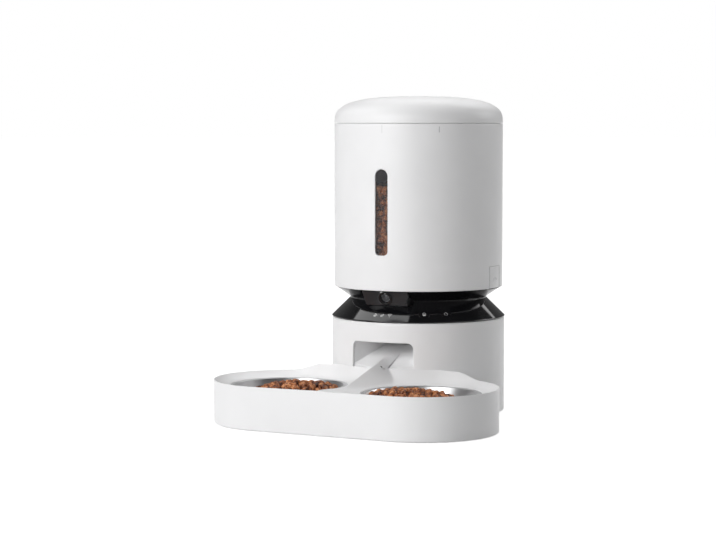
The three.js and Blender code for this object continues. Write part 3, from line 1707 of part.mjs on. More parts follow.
const camera = groupOf(
  piece('camera_housing', cameraHousing(), blackGloss),
  piece('lens_bezel', lensBezel(), blackGloss),
  piece('lens_glass', lensPane(), lensGlass),
  piece('sensor_board', sensorBoard(), boardGreen),
  piece('light_sensor', lightSensor(), lightWhite),
);

const drive = groupOf(
  piece('drive_bracket', driveBracket(), innerPlastic),
  piece('drive_cover', driveCover(), innerPlastic),
  piece('shaft_bushing', shaftBushing(), bushingBrass),
  piece('gearmotor', gearmotor(), motorGrey),
  piece('output_gear', outputGear(), gearNylon),
);
const pinion = piece('drive_pinion', drivePinion(), gearNylon);
pinion.position.y = gearDistance;
drive.add(pinion);

const hopper = groupOf(
  piece('hopper_shell', hopperShell(), whitePlastic),
  piece('window_pane', windowPane(), smokedPlastic),
  piece('hopper_floor', hopperFloor(), innerPlastic),
  piece('rotor_hub', rotorHub(), gearNylon),
  piece('rotor_vanes', rotorVanes(), vaneRubber),
  piece('release_button_left', releaseButton(-1), whitePlastic),
  piece('release_button_right', releaseButton(1), whitePlastic),
);

const lid = groupOf(
  piece('lid_dome', lidDome(), whitePlastic),
  piece('lid_liner', lidLiner(), innerPlastic),
  piece('lid_seal', lidSeal(), sealRubber),
  piece('desiccant_cap', desiccantCap(), innerPlastic),
);

const bowls = [['bowl_left', -1], ['bowl_right', 1]].map(([name, side]) => {
  const mesh = piece(name, bowl(), bowlSteel);
  mesh.position.set(side * bowlOffset, -bowlReach, 0);
  return mesh;
});

const feedingTray = groupOf(
  piece('tray', tray(), whitePlastic),
  piece('food_divider', foodDivider(), whitePlastic),
  piece('divider_screw', dividerScrew(), springSteel),
  trayFootPlaces().map((place, number) => piece(`tray_foot_${number + 1}`, trayFoot(place), greyRubber)),
  bowls,
);

const petFeeder = groupOf(base, waist, camera, drive, hopper, lid, feedingTray);
petFeeder.position.y = (bowlReach + trayEndRadius - lipRadius) / 2;

export default petFeeder;
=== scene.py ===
# %% [markdown]
# # A camera pet feeder
#
# The feeder has a white round base with a black waist, a camera in the front of the waist, a tall
# food hopper with a narrow window, a domed lid, and a tray with two steel bowls.
# The frame holds the solids that carry and move everything. This lesson gives each one that shows
# a fine surface, in the same place and at the same size, and lights it as a plain studio picture.

# %% Load the frame
import json
import math
from contextlib import contextmanager

import bmesh
import bpy
import numpy as np
from mathutils import Matrix, Vector

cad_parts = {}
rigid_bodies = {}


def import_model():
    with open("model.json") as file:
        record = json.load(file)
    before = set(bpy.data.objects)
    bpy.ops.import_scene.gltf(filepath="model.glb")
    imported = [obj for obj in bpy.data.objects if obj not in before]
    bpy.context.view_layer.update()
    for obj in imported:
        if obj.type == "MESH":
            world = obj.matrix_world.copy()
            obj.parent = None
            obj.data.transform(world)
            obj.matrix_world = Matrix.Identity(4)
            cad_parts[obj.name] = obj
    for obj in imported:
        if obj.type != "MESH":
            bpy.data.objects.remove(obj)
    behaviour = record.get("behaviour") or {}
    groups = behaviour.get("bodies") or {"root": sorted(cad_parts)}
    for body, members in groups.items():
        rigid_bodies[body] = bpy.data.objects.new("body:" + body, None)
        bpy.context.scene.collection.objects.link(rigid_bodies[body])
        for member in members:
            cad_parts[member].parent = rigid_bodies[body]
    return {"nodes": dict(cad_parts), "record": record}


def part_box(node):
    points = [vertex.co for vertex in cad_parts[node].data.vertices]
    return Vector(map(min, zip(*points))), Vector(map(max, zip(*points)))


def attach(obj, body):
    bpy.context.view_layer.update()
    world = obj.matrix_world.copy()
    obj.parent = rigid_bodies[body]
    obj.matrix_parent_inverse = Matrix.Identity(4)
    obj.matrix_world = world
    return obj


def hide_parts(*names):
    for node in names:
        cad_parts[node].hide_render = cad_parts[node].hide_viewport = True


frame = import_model()
scene = bpy.context.scene
nodes = frame["nodes"]
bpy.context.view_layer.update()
MM = 0.001
print("nodes in the frame:", len(nodes))

# %% [markdown]
# ## Sizes
#
# Lengths are in metres, so a size in millimetres is written as a number times MM. The radii and
# heights that the frame already holds are read from its boxes, and the rest are named here once.
# A turn is an angle round the base's axis, in degrees from the front towards +X. The edges are
# the fillets that all the pieces share, from the sharpest to the softest.

# %% Sizes from the frame
shell_low, shell_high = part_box("base_shell")
hopper_low, hopper_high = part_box("hopper_shell")
lid_low, lid_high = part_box("lid_dome")
AXIS_Y = (shell_low.y + shell_high.y) / 2
BASE_RADIUS = shell_high.x
BASE_WALL = 2.5 * MM
HOPPER_RADIUS = hopper_high.x
HOPPER_WALL = 2.25 * MM
GAP = 0.3 * MM
OVERRUN = 4 * MM
TINY = 0.001 * MM
WELD = 0.01 * MM
POINT_WELD = 0.002 * MM
ROUND_SIDES = 256
SMALL_SIDES = 64
HAIR_EDGE = 0.1 * MM
BAND_EDGE = 0.15 * MM
CRISP_EDGE = 0.2 * MM
FINE_EDGE = 0.3 * MM
SMALL_EDGE = 0.4 * MM
EASY_EDGE = 0.5 * MM
SOFT_EDGE = 0.6 * MM
LIP_EDGE = 0.7 * MM
ROUND_EDGE = 0.8 * MM
print("axis at y", round(AXIS_Y, 4), "base radius", round(BASE_RADIUS, 4))


def on_axis(radius, turn, height):
    angle = math.radians(turn)
    return Vector((radius * math.sin(angle), AXIS_Y - radius * math.cos(angle), height))


# %% [markdown]
# ## Camera
#
# The photograph was taken from about the height of the lid, from the right of the front, with a
# long lens. The place and the angles come from fitting the feeder's round edges to the picture.

# %% Camera
CAMERA_PLACE = (0.9764, -1.9726, 0.3167)
CAMERA_PITCH = 85.888
CAMERA_HEADING = 27.247
CAMERA_LENS = 103.13
CAMERA_SENSOR = 36

camera_data = bpy.data.cameras.new("camera")
camera_data.lens = CAMERA_LENS
camera_data.sensor_width = CAMERA_SENSOR
camera = bpy.data.objects.new("camera", camera_data)
camera.location = CAMERA_PLACE
camera.rotation_euler = (math.radians(CAMERA_PITCH), 0, math.radians(CAMERA_HEADING))
scene.collection.objects.link(camera)
scene.camera = camera

# %% [markdown]
# ## Finishes
#
# Every finish is a Principled shader whose colour, roughness and bump come from noise in the
# object's own coordinates, so that nothing slides when a piece moves. Small helpers add one node
# each: moulded plastic differs from rubber only in the sizes and depths that they are given. A
# cloud is the size over which a colour drifts, a wipe that of rubbed spots, a grain the finest.

# %% Helpers for finishes
NOISE_LOW = 0.3
NOISE_HIGH = 0.7
PLASTIC_CLOUD = 60 * MM
PLASTIC_WIPE = 18 * MM
MOULD_GRAIN = 0.6 * MM
FINE_GRAIN = 0.3 * MM
SMOOTH_DEPTH = 0.004 * MM
SATIN_DEPTH = 0.01 * MM
DARKER_SHARE = 0.97
CLOUD_LOW = 0.35
CLOUD_HIGH = 0.65
WIPE_SHARES = (0.9, 1.15)
PLATE_SHARES = (0.8, 1.3)


class Finish:
    """A material with a Principled shader, and short ways to drive its sockets."""

    def __init__(self, name, colour, roughness, metallic=0.0):
        self.material = bpy.data.materials.new(name)
        self.material.use_nodes = True
        self.tree = self.material.node_tree
        self.shader = self.tree.nodes["Principled BSDF"]
        self.shader.inputs["Base Color"].default_value = (*colour, 1)
        self.shader.inputs["Roughness"].default_value = roughness
        self.shader.inputs["Metallic"].default_value = metallic
        self.place = self.tree.nodes.new("ShaderNodeTexCoord").outputs["Object"]

    def noise(self, size, detail=2.0):
        texture = self.tree.nodes.new("ShaderNodeTexNoise")
        texture.inputs["Scale"].default_value = 1 / size
        texture.inputs["Detail"].default_value = detail
        self.tree.links.new(self.place, texture.inputs["Vector"])
        return texture.outputs["Fac"]

    def spread(self, value, low, high):
        reach = self.tree.nodes.new("ShaderNodeMapRange")
        reach.inputs["From Min"].default_value = NOISE_LOW
        reach.inputs["From Max"].default_value = NOISE_HIGH
        reach.inputs["To Min"].default_value = low
        reach.inputs["To Max"].default_value = high
        self.tree.links.new(value, reach.inputs["Value"])
        return reach.outputs["Result"]

    def colours(self, value, *stops):
        ramp = self.tree.nodes.new("ShaderNodeValToRGB")
        ramp.color_ramp.elements[0].position = stops[0][0]
        ramp.color_ramp.elements[0].color = (*stops[0][1], 1)
        ramp.color_ramp.elements[1].position = stops[-1][0]
        ramp.color_ramp.elements[1].color = (*stops[-1][1], 1)
        for place, colour in stops[1:-1]:
            ramp.color_ramp.elements.new(place).color = (*colour, 1)
        self.tree.links.new(value, ramp.inputs["Fac"])
        self.tree.links.new(ramp.outputs["Color"], self.shader.inputs["Base Color"])

    def clouded(self, size, dark, pale, detail=2.0):
        self.colours(self.noise(size, detail), (NOISE_LOW, dark), (NOISE_HIGH, pale))

    def rough(self, value, low, high):
        self.tree.links.new(self.spread(value, low, high), self.shader.inputs["Roughness"])

    def bump(self, value, depth, strength=1.0):
        node = self.tree.nodes.new("ShaderNodeBump")
        node.inputs["Strength"].default_value = strength
        node.inputs["Distance"].default_value = depth
        self.tree.links.new(value, node.inputs["Height"])
        self.tree.links.new(node.outputs["Normal"], self.shader.inputs["Normal"])


def moulded(name, colour, roughness, grain=MOULD_GRAIN, depth=SMOOTH_DEPTH):
    finish = Finish(name, colour, roughness)
    darker = tuple(channel * DARKER_SHARE for channel in colour)
    finish.colours(finish.noise(PLASTIC_CLOUD), (CLOUD_LOW, darker), (CLOUD_HIGH, colour))
    finish.rough(finish.noise(PLASTIC_WIPE), *(roughness * share for share in WIPE_SHARES))
    finish.bump(finish.noise(grain), depth)
    return finish.material


# %% [markdown]
# White parts are satin injection-moulded plastic. The waist is polished black, so its roughness is
# low and only faint wiping marks break it. The window is clear with a grey haze: a low alpha lets
# the food show, and the pale grey of the little that is left veils it.

# %% Plastics
POLISH_CLOUD = 40 * MM
POLISH_WIPE = 25 * MM
POLISH_WAVE = 30 * MM
WINDOW_CLOUD = 30 * MM
WINDOW_WIPE = 20 * MM
WINDOW_ALPHA = 0.15
LIGHT_CLOUD = 2 * MM
LIGHT_GRAIN = 0.4 * MM
GLASS_CLOUD = 6 * MM
GLASS_WIPE = 9 * MM
GLASS_IOR = 1.6
PALER_SHARE = 1.3


def black_gloss_finish():
    finish = Finish("black_gloss", (0.005, 0.005, 0.006), 0.07)
    finish.clouded(POLISH_CLOUD, (0.004, 0.004, 0.005), (0.007, 0.007, 0.008))
    finish.rough(finish.noise(POLISH_WIPE, 4), 0.05, 0.1)
    finish.bump(finish.noise(POLISH_WAVE), SATIN_DEPTH, 0.3)
    return finish.material


def smoked_finish():
    finish = Finish("smoked_window", (0.17, 0.17, 0.175), 0.08)
    finish.clouded(WINDOW_CLOUD, (0.16, 0.16, 0.165), (0.18, 0.18, 0.185))
    finish.rough(finish.noise(WINDOW_WIPE), 0.05, 0.12)
    finish.shader.inputs["Alpha"].default_value = WINDOW_ALPHA
    return finish.material


def light_finish():
    finish = Finish("light_diffuser", (0.85, 0.85, 0.83), 0.35)
    finish.clouded(LIGHT_CLOUD, (0.78, 0.78, 0.77), (0.88, 0.88, 0.86))
    finish.bump(finish.noise(LIGHT_GRAIN), SMOOTH_DEPTH)
    return finish.material


def glass_finish(name, colour, alpha):
    finish = Finish(name, colour, 0.03)
    finish.clouded(GLASS_CLOUD, colour, tuple(channel * PALER_SHARE for channel in colour))
    finish.rough(finish.noise(GLASS_WIPE), 0.02, 0.05)
    finish.shader.inputs["Alpha"].default_value = alpha
    finish.shader.inputs["IOR"].default_value = GLASS_IOR
    return finish.material


white_plastic = moulded("white_plastic", (0.86, 0.86, 0.866), 0.42)
inner_plastic = moulded("inner_plastic", (0.68, 0.68, 0.69), 0.5, depth=SATIN_DEPTH)
mark_grey = moulded("mark_grey", (0.6, 0.6, 0.61), 0.6)
mark_pale = moulded("mark_pale", (0.77, 0.77, 0.775), 0.6)
printed_white = moulded("printed_white", (0.62, 0.62, 0.62), 0.5, FINE_GRAIN)
satin_black = moulded("satin_black", (0.028, 0.028, 0.03), 0.3, FINE_GRAIN)
barrel_black = moulded("barrel_black", (0.012, 0.012, 0.013), 0.25, FINE_GRAIN)
stop_grey = moulded("stop_grey", (0.26, 0.26, 0.265), 0.4, FINE_GRAIN)
black_gloss = black_gloss_finish()
smoked_window = smoked_finish()
light_diffuser = light_finish()
lens_glass = glass_finish("lens_glass", (0.045, 0.047, 0.052), 0.3)
inner_glass = glass_finish("inner_glass", (0.4, 0.41, 0.43), 0.9)

# %% [markdown]
# Metals: the bowls are pressed from polished stainless steel, whose fine lines run in circles, so
# the noise there reads only the distance from the bowl's middle. Screws, contacts and the motor's
# can are plated, which shows as a faint cloudiness.

# %% Metals
STEEL_LINE = 0.5 * MM
STEEL_CLOUD = 35 * MM
PLATE_CLOUD = 4 * MM
PLATE_WIPE = 2 * MM
DULL_SHARE = 0.85


def ringed_steel(name, middle):
    finish = Finish(name, (0.66, 0.66, 0.67), 0.2, 1.0)
    tree = finish.tree
    shift = tree.nodes.new("ShaderNodeMapping")
    shift.vector_type = "POINT"
    shift.inputs["Location"].default_value = (-middle.x, -middle.y, 0)
    shift.inputs["Scale"].default_value = (1, 1, 0)
    length = tree.nodes.new("ShaderNodeVectorMath")
    length.operation = "LENGTH"
    lines = tree.nodes.new("ShaderNodeTexNoise")
    lines.noise_dimensions = "1D"
    lines.inputs["Scale"].default_value = 1 / STEEL_LINE
    lines.inputs["Detail"].default_value = 3
    tree.links.new(finish.place, shift.inputs["Vector"])
    tree.links.new(shift.outputs["Vector"], length.inputs[0])
    tree.links.new(length.outputs["Value"], lines.inputs["W"])
    finish.rough(lines.outputs["Fac"], 0.3, 0.4)
    finish.clouded(STEEL_CLOUD, (0.5, 0.5, 0.51), (0.58, 0.58, 0.585))
    finish.bump(lines.outputs["Fac"], SMOOTH_DEPTH, 0.5)
    return finish.material


def plated(name, colour, roughness):
    finish = Finish(name, colour, roughness, 1.0)
    finish.clouded(PLATE_CLOUD, tuple(channel * DULL_SHARE for channel in colour), colour, 4)
    finish.rough(finish.noise(PLATE_WIPE, 4), *(roughness * share for share in PLATE_SHARES))
    finish.bump(finish.noise(FINE_GRAIN), SMOOTH_DEPTH)
    return finish.material


spring_steel = plated("spring_steel", (0.56, 0.56, 0.57), 0.3)
bushing_brass = plated("bushing_brass", (0.55, 0.36, 0.12), 0.3)
motor_metal = plated("motor_metal", (0.32, 0.33, 0.34), 0.35)

# %% [markdown]
# Rubber is dark and matt with a fine tooth. Circuit boards have a green mask over copper tracks,
# drawn here as blocky cells. Food is a baked dough: two noises mix a dark crust with paler crumb,
# and a strong bump breaks the surface of every piece.

# %% Rubber, boards, nylon and food
RUBBER_GRAIN = 0.4 * MM
SEAL_GRAIN = 0.5 * MM
TOOTH_DEPTH = 0.05 * MM
SOFT_DEPTH = 0.02 * MM
TRACK_SIZE = 3 * MM
CRUST_CLOUD = 9 * MM
CRUMB_SIZE = 1.6 * MM
CRUST_WIPE = 2 * MM
CRUMB_GRAIN = 1.2 * MM
CRUMB_DEPTH = 0.6 * MM

grey_rubber = moulded("grey_rubber", (0.09, 0.09, 0.1), 0.8, RUBBER_GRAIN, TOOTH_DEPTH)
# Near-black finish for the plug that paints the shade deep inside the hole in the tray's ridge.
hole_shade_black = moulded("hole_shade_black", (0.012, 0.012, 0.012), 0.8, FINE_GRAIN)
seal_rubber = moulded("seal_rubber", (0.5, 0.5, 0.51), 0.6, SEAL_GRAIN, SOFT_DEPTH)
vane_rubber = moulded("vane_rubber", (0.6, 0.59, 0.55), 0.65, depth=SOFT_DEPTH)
gear_nylon = moulded("gear_nylon", (0.76, 0.72, 0.62), 0.5, depth=SATIN_DEPTH)


def board_finish():
    finish = Finish("circuit_board", (0.012, 0.1, 0.04), 0.4)
    cells = finish.tree.nodes.new("ShaderNodeTexVoronoi")
    cells.distance = "CHEBYCHEV"
    cells.feature = "F1"
    cells.inputs["Scale"].default_value = 1 / TRACK_SIZE
    finish.tree.links.new(finish.place, cells.inputs["Vector"])
    finish.colours(cells.outputs["Distance"], (0.1, (0.03, 0.2, 0.08)), (0.45, (0.01, 0.08, 0.03)))
    finish.bump(cells.outputs["Distance"], TOOTH_DEPTH)
    return finish.material


def food_finish():
    finish = Finish("dry_food", (0.3, 0.12, 0.045), 0.6)
    tree = finish.tree
    mixed = tree.nodes.new("ShaderNodeMath")
    mixed.operation = "ADD"
    half = tree.nodes.new("ShaderNodeMath")
    half.operation = "MULTIPLY"
    half.inputs[1].default_value = 0.5
    tree.links.new(finish.noise(CRUST_CLOUD, 1), mixed.inputs[0])
    tree.links.new(finish.noise(CRUMB_SIZE, 5), mixed.inputs[1])
    tree.links.new(mixed.outputs[0], half.inputs[0])
    finish.colours(
        half.outputs[0],
        (0.38, (0.035, 0.008, 0.002)),
        (0.46, (0.17, 0.045, 0.012)),
        (0.53, (0.37, 0.12, 0.036)),
        (0.61, (0.64, 0.28, 0.115)),
    )
    finish.rough(finish.noise(CRUST_WIPE), 0.42, 0.7)
    finish.bump(finish.noise(CRUMB_GRAIN, 4), CRUMB_DEPTH, 0.7)
    return finish.material


circuit_board = board_finish()
dry_food = food_finish()

# %% [markdown]
# ## Helpers for shapes
#
# Nearly every piece is turned on a lathe: an outline of radius and height, swept round the axis.
# `rounded` gives each corner of an outline its fillet, because a real moulded edge catches light.
# `settle` applies what modifiers a piece has and marks the edges that stay sharp. `hand_over` gives
# a finished piece its material, hangs it on the body that it rides on and hides the nodes that it replaces.

# %% Outlines and meshes
SHARP_ANGLE = 32


def rounded(corners, steps=5):
    """A closed outline whose corners (across, up, fillet) become arcs."""
    outline = []
    count = len(corners)
    for place, (across, up, fillet) in enumerate(corners):
        corner = np.array((across, up))
        before = np.array(corners[place - 1][:2]) - corner
        after = np.array(corners[(place + 1) % count][:2]) - corner
        if fillet <= 0:
            outline.append((across, up))
            continue
        before /= np.linalg.norm(before)
        after /= np.linalg.norm(after)
        half = math.acos(np.clip(before @ after, -1, 1)) / 2
        middle = corner + (before + after) / np.linalg.norm(before + after) * fillet / math.sin(half)
        first = corner + before * fillet / math.tan(half) - middle
        last = corner + after * fillet / math.tan(half) - middle
        start = math.atan2(first[1], first[0])
        sweep = (math.atan2(last[1], last[0]) - start + math.pi) % (2 * math.pi) - math.pi
        for step in range(steps + 1):
            angle = start + sweep * step / steps
            outline.append((middle[0] + fillet * math.cos(angle), middle[1] + fillet * math.sin(angle)))
    return outline


def rod_outline(radius, low, high):
    return [(0, low), (radius, low), (radius, high), (0, high)]


def arc(radius, start, end, middle=(0, 0), steps=20):
    turns = np.radians(np.linspace(start, end, steps))
    return [(middle[0] + radius * math.cos(turn), middle[1] + radius * math.sin(turn)) for turn in turns]


def add_piece(name, points, faces):
    mesh = bpy.data.meshes.new(name)
    mesh.from_pydata([tuple(point) for point in points], [], faces)
    piece = bpy.data.objects.new(name, mesh)
    scene.collection.objects.link(piece)
    return piece


def lathe(name, outline, sides=ROUND_SIDES, middle=None, matrix=None):
    """Sweeps an outline of (radius, height), anticlockwise, round an upright axis."""
    middle = Vector((0, AXIS_Y, 0)) if middle is None else middle
    points, rings, faces = [], [], []
    for radius, height in outline:
        start = len(points)
        if radius < TINY:
            rings.append([start] * sides)
            points.append(middle + Vector((0, 0, height)))
            continue
        rings.append(range(start, start + sides))
        for side in range(sides):
            angle = 2 * math.pi * side / sides
            across = Vector((radius * math.cos(angle), radius * math.sin(angle), height))
            points.append(middle + across)
    loops = list(zip(rings, rings[1:]))
    if outline[0][0] >= TINY:
        loops.append((rings[-1], rings[0]))
    for low, high in loops:
        for side in range(sides):
            after = (side + 1) % sides
            face = dict.fromkeys((low[side], low[after], high[after], high[side]))
            if len(face) > 2:
                faces.append(tuple(face))
    if matrix is not None:
        points = [matrix @ point for point in points]
    return add_piece(name, points, faces)


def box_piece(name, low, high):
    points = [(x, y, z) for x in (low[0], high[0]) for y in (low[1], high[1]) for z in (low[2], high[2])]
    faces = [(0, 1, 3, 2), (4, 6, 7, 5), (0, 4, 5, 1), (2, 3, 7, 6), (0, 2, 6, 4), (1, 5, 7, 3)]
    return add_piece(name, points, faces)


def bands(rings, count):
    """Faces between each ring of points and the next, where every ring has as many points."""
    faces = []
    for start in range(0, count * (rings - 1), count):
        for place in range(count):
            after = (place + 1) % count
            faces.append((start + place, start + after, start + count + after, start + count + place))
    return faces


@contextmanager
def edited(piece):
    """A piece's mesh, open for changes that are then written back."""
    mesh = bmesh.new()
    mesh.from_mesh(piece.data)
    yield mesh
    mesh.to_mesh(piece.data)
    mesh.free()


def fix_faces(piece, weld=0.0):
    """Turns every face outward, after points closer than the weld are merged."""
    with edited(piece) as mesh:
        if weld > 0:
            bmesh.ops.remove_doubles(mesh, verts=mesh.verts, dist=weld)
        bmesh.ops.recalc_face_normals(mesh, faces=mesh.faces)
    return piece


def drawn_rim(mesh):
    """Grows a band of faces from an open surface's rim, and gives the band's new corners."""
    rim = [edge for edge in mesh.edges if edge.is_boundary]
    grown = bmesh.ops.extrude_edge_only(mesh, edges=rim)["geom"]
    return [item for item in grown if isinstance(item, bmesh.types.BMVert)]


def settle(piece, sharp=SHARP_ANGLE):
    depsgraph = bpy.context.evaluated_depsgraph_get()
    mesh = bpy.data.meshes.new_from_object(piece.evaluated_get(depsgraph))
    piece.modifiers.clear()
    piece.data = mesh
    mesh.shade_smooth()
    mesh.set_sharp_from_angle(angle=math.radians(sharp))
    return piece


def carve(piece, *cutters, operation="DIFFERENCE"):
    for cutter in cutters:
        change = piece.modifiers.new("carve", "BOOLEAN")
        change.operation = operation
        change.solver = "MANIFOLD"
        change.object = cutter
    settle(piece)
    for cutter in cutters:
        bpy.data.objects.remove(cutter)
    return piece


def soften(piece, width, steps=3, angle=SHARP_ANGLE):
    edge = piece.modifiers.new("soften", "BEVEL")
    edge.width = width
    edge.segments = steps
    edge.limit_method = "ANGLE"
    edge.angle_limit = math.radians(angle)
    evened = piece.modifiers.new("evened", "WEIGHTED_NORMAL")
    evened.keep_sharp = True
    return settle(piece)


def hand_over(piece, body, slot, material, *stood_for):
    piece.data.materials.clear()
    piece.data.materials.append(material)
    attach(piece, body)
    if stood_for:
        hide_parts(*stood_for)
    print(piece.name, "has", len(piece.data.polygons), "faces")
    return piece


def joined(name, *pieces):
    mesh = bmesh.new()
    for piece in pieces:
        mesh.from_mesh(piece.data)
        bpy.data.objects.remove(piece)
    whole = bpy.data.meshes.new(name)
    mesh.to_mesh(whole)
    mesh.free()
    piece = bpy.data.objects.new(name, whole)
    scene.collection.objects.link(piece)
    return settle(piece)


# %% [markdown]
# ## Drums with openings
#
# The base and the hopper are thin drums with shaped openings. A boolean cut would leave long thin
# faces round each opening, on which a fillet fails. Here the skin is a grid, and round an opening
# a patch of rings runs from the opening's outline to the grid. Solidify then gives it its wall and
# Bevel rounds every rim.

# %% Drum skin
CORNER_STEPS = 12
CROWDING_SHARE = 0.5
RING_SHARES = (0, 0.25, 0.6)


def spread(marks, step):
    """Values from the first mark to the last, about a step apart, that hit every mark."""
    values = [marks[0]]
    for low, high in zip(marks, marks[1:]):
        count = max(1, round((high - low) / step))
        values += [low + (high - low) * place / count for place in range(1, count + 1)]
    return values


def opening_sides(half, low, high, low_corner, high_corner):
    """The four sides of an opening, anticlockwise, each from mid-corner to mid-corner."""
    spots = [
        ((-half + low_corner, low + low_corner), low_corner, 225),
        ((half - low_corner, low + low_corner), low_corner, 315),
        ((half - high_corner, high - high_corner), high_corner, 405),
        ((-half + high_corner, high - high_corner), high_corner, 495),
    ]
    sides = []
    for place, (middle, radius, angle) in enumerate(spots):
        after, after_radius, _ = spots[(place + 1) % 4]
        leaving = np.radians(np.linspace(angle, angle + 45, CORNER_STEPS))
        coming = np.radians(np.linspace(angle + 45, angle + 90, CORNER_STEPS))
        first = np.array(middle) + radius * np.stack((np.cos(leaving), np.sin(leaving)), 1)
        last = np.array(after) + after_radius * np.stack((np.cos(coming), np.sin(coming)), 1)
        sides.append(np.vstack((first, last)))
    return sides


def resample(line, count):
    """As many points along a line, closer together near its two ends."""
    reach = np.concatenate(([0], np.cumsum(np.linalg.norm(np.diff(line, axis=0), axis=1))))
    share = np.arange(count) / count
    share = share - CROWDING_SHARE * np.sin(2 * math.pi * share) / (2 * math.pi)
    return np.stack([np.interp(share * reach[-1], reach, line[:, axis]) for axis in (0, 1)], 1)


class DrumSkin:
    """The outer skin of an upright drum as a grid of turns and heights."""

    def __init__(self, radius, turns, heights):
        self.radius = radius
        self.turns = turns
        self.heights = heights
        self.points = []
        self.faces = []
        self.corners = {}
        self.gaps = []

    def corner(self, column, row):
        key = (column % (len(self.turns) - 1), row)
        if key not in self.corners:
            self.corners[key] = len(self.points)
            self.points.append(on_axis(self.radius, self.turns[key[0]], self.heights[row]))
        return self.corners[key]

    def leave_out(self, turn_span, height_span):
        self.gaps.append((turn_span, height_span))

    def patch(self, turn_span, height_span, turn, sides):
        """Rings from an opening's outline, centred at a turn, to the grid round it."""
        self.leave_out(turn_span, height_span)
        left, right = (int(np.argmin(np.abs(np.array(self.turns) - t))) for t in turn_span)
        low, high = (int(np.argmin(np.abs(np.array(self.heights) - h))) for h in height_span)
        border = [(column, low) for column in range(left, right)]
        border += [(right, row) for row in range(low, high)]
        border += [(column, high) for column in range(right, left, -1)]
        border += [(left, row) for row in range(high, low, -1)]
        counts = (right - left, high - low, right - left, high - low)
        outline = np.vstack([resample(side, count) for side, count in zip(sides, counts)])
        inner_turns = turn + np.degrees(np.arcsin(outline[:, 0] / self.radius))
        rings = []
        for share in RING_SHARES:
            ring = []
            for place, (column, row) in enumerate(border):
                here = inner_turns[place] + (self.turns[column] - inner_turns[place]) * share
                height = outline[place, 1] + (self.heights[row] - outline[place, 1]) * share
                ring.append(len(self.points))
                self.points.append(on_axis(self.radius, here, height))
            rings.append(ring)
        rings.append([self.corner(*key) for key in border])
        for inner, outer in zip(rings, rings[1:]):
            for place in range(len(border)):
                after = (place + 1) % len(border)
                self.faces.append((outer[place], outer[after], inner[after], inner[place]))

    def inside_gap(self, turn, height):
        return any(a < turn < b and c < height < d for (a, b), (c, d) in self.gaps)

    def piece(self, name, wall, fillet):
        for column in range(len(self.turns) - 1):
            turn = (self.turns[column] + self.turns[column + 1]) / 2
            for row in range(len(self.heights) - 1):
                height = (self.heights[row] + self.heights[row + 1]) / 2
                if not self.inside_gap(turn, height):
                    self.faces.append((
                        self.corner(column, row), self.corner(column + 1, row),
                        self.corner(column + 1, row + 1), self.corner(column, row + 1),
                    ))
        piece = add_piece(name, self.points, self.faces)
        thickness = piece.modifiers.new("wall", "SOLIDIFY")
        thickness.thickness = wall
        thickness.offset = -1
        thickness.use_even_offset = False
        return soften(piece, fillet)


# %% [markdown]
# ## Base
#
# The base is one white drum. Its front has the wide low outlet for the food, two slots take the
# pegs of the tray, and the plug goes in at the back, through a round hole.

# %% Base drum
OUTLET_HALF = 36.2 * MM
OUTLET_LOW = 48 * MM
OUTLET_HIGH = 82.4 * MM
OUTLET_CORNER = 6.5 * MM
OUTLET_MARGIN_TURN = 28
OUTLET_MARGIN_LOW = 40 * MM
OUTLET_MARGIN_HIGH = 91 * MM
PEG_TURN = 18.4
PEG_HALF = 4.9 * MM
PEG_LOW = 9.4 * MM
PEG_HIGH = 16.6 * MM
PEG_CORNER = 0.8 * MM
PEG_MARGIN_TURN = 5.4
PEG_MARGIN = 4 * MM
SOCKET_TURN = 180
SOCKET_HEIGHT = 16 * MM
SOCKET_RADIUS = 5.5 * MM
SOCKET_MARGIN_TURN = 6.2
SOCKET_MARGIN = 10 * MM
BASE_FILLET = 0.9 * MM
TURN_STEP = 1.1
HEIGHT_STEP = 4 * MM

base_turns = spread(
    [
        -90, -OUTLET_MARGIN_TURN, -PEG_TURN - PEG_MARGIN_TURN, -PEG_TURN + PEG_MARGIN_TURN,
        PEG_TURN - PEG_MARGIN_TURN, PEG_TURN + PEG_MARGIN_TURN, OUTLET_MARGIN_TURN,
        SOCKET_TURN - SOCKET_MARGIN_TURN, SOCKET_TURN + SOCKET_MARGIN_TURN, 270,
    ],
    TURN_STEP,
)
base_heights = spread(
    [
        shell_low.z, PEG_LOW - PEG_MARGIN, PEG_HIGH + PEG_MARGIN, SOCKET_HEIGHT + SOCKET_MARGIN,
        OUTLET_MARGIN_LOW, OUTLET_MARGIN_HIGH, shell_high.z,
    ],
    HEIGHT_STEP,
)
base_skin = DrumSkin(BASE_RADIUS, base_turns, base_heights)
base_skin.patch(
    (-OUTLET_MARGIN_TURN, OUTLET_MARGIN_TURN), (OUTLET_MARGIN_LOW, OUTLET_MARGIN_HIGH), 0,
    opening_sides(OUTLET_HALF, OUTLET_LOW, OUTLET_HIGH, OUTLET_CORNER, OUTLET_CORNER),
)
for side in (-1, 1):
    base_skin.patch(
        (side * PEG_TURN - PEG_MARGIN_TURN, side * PEG_TURN + PEG_MARGIN_TURN),
        (PEG_LOW - PEG_MARGIN, PEG_HIGH + PEG_MARGIN), side * PEG_TURN,
        opening_sides(PEG_HALF, PEG_LOW, PEG_HIGH, PEG_CORNER, PEG_CORNER),
    )
base_skin.patch(
    (SOCKET_TURN - SOCKET_MARGIN_TURN, SOCKET_TURN + SOCKET_MARGIN_TURN),
    (PEG_LOW - PEG_MARGIN, SOCKET_HEIGHT + SOCKET_MARGIN), SOCKET_TURN,
    opening_sides(
        SOCKET_RADIUS, SOCKET_HEIGHT - SOCKET_RADIUS, SOCKET_HEIGHT + SOCKET_RADIUS,
        SOCKET_RADIUS, SOCKET_RADIUS,
    ),
)
base_drum = base_skin.piece("base_drum", BASE_WALL, BASE_FILLET)
hand_over(base_drum, "base", "white_plastic", white_plastic, "base_shell")

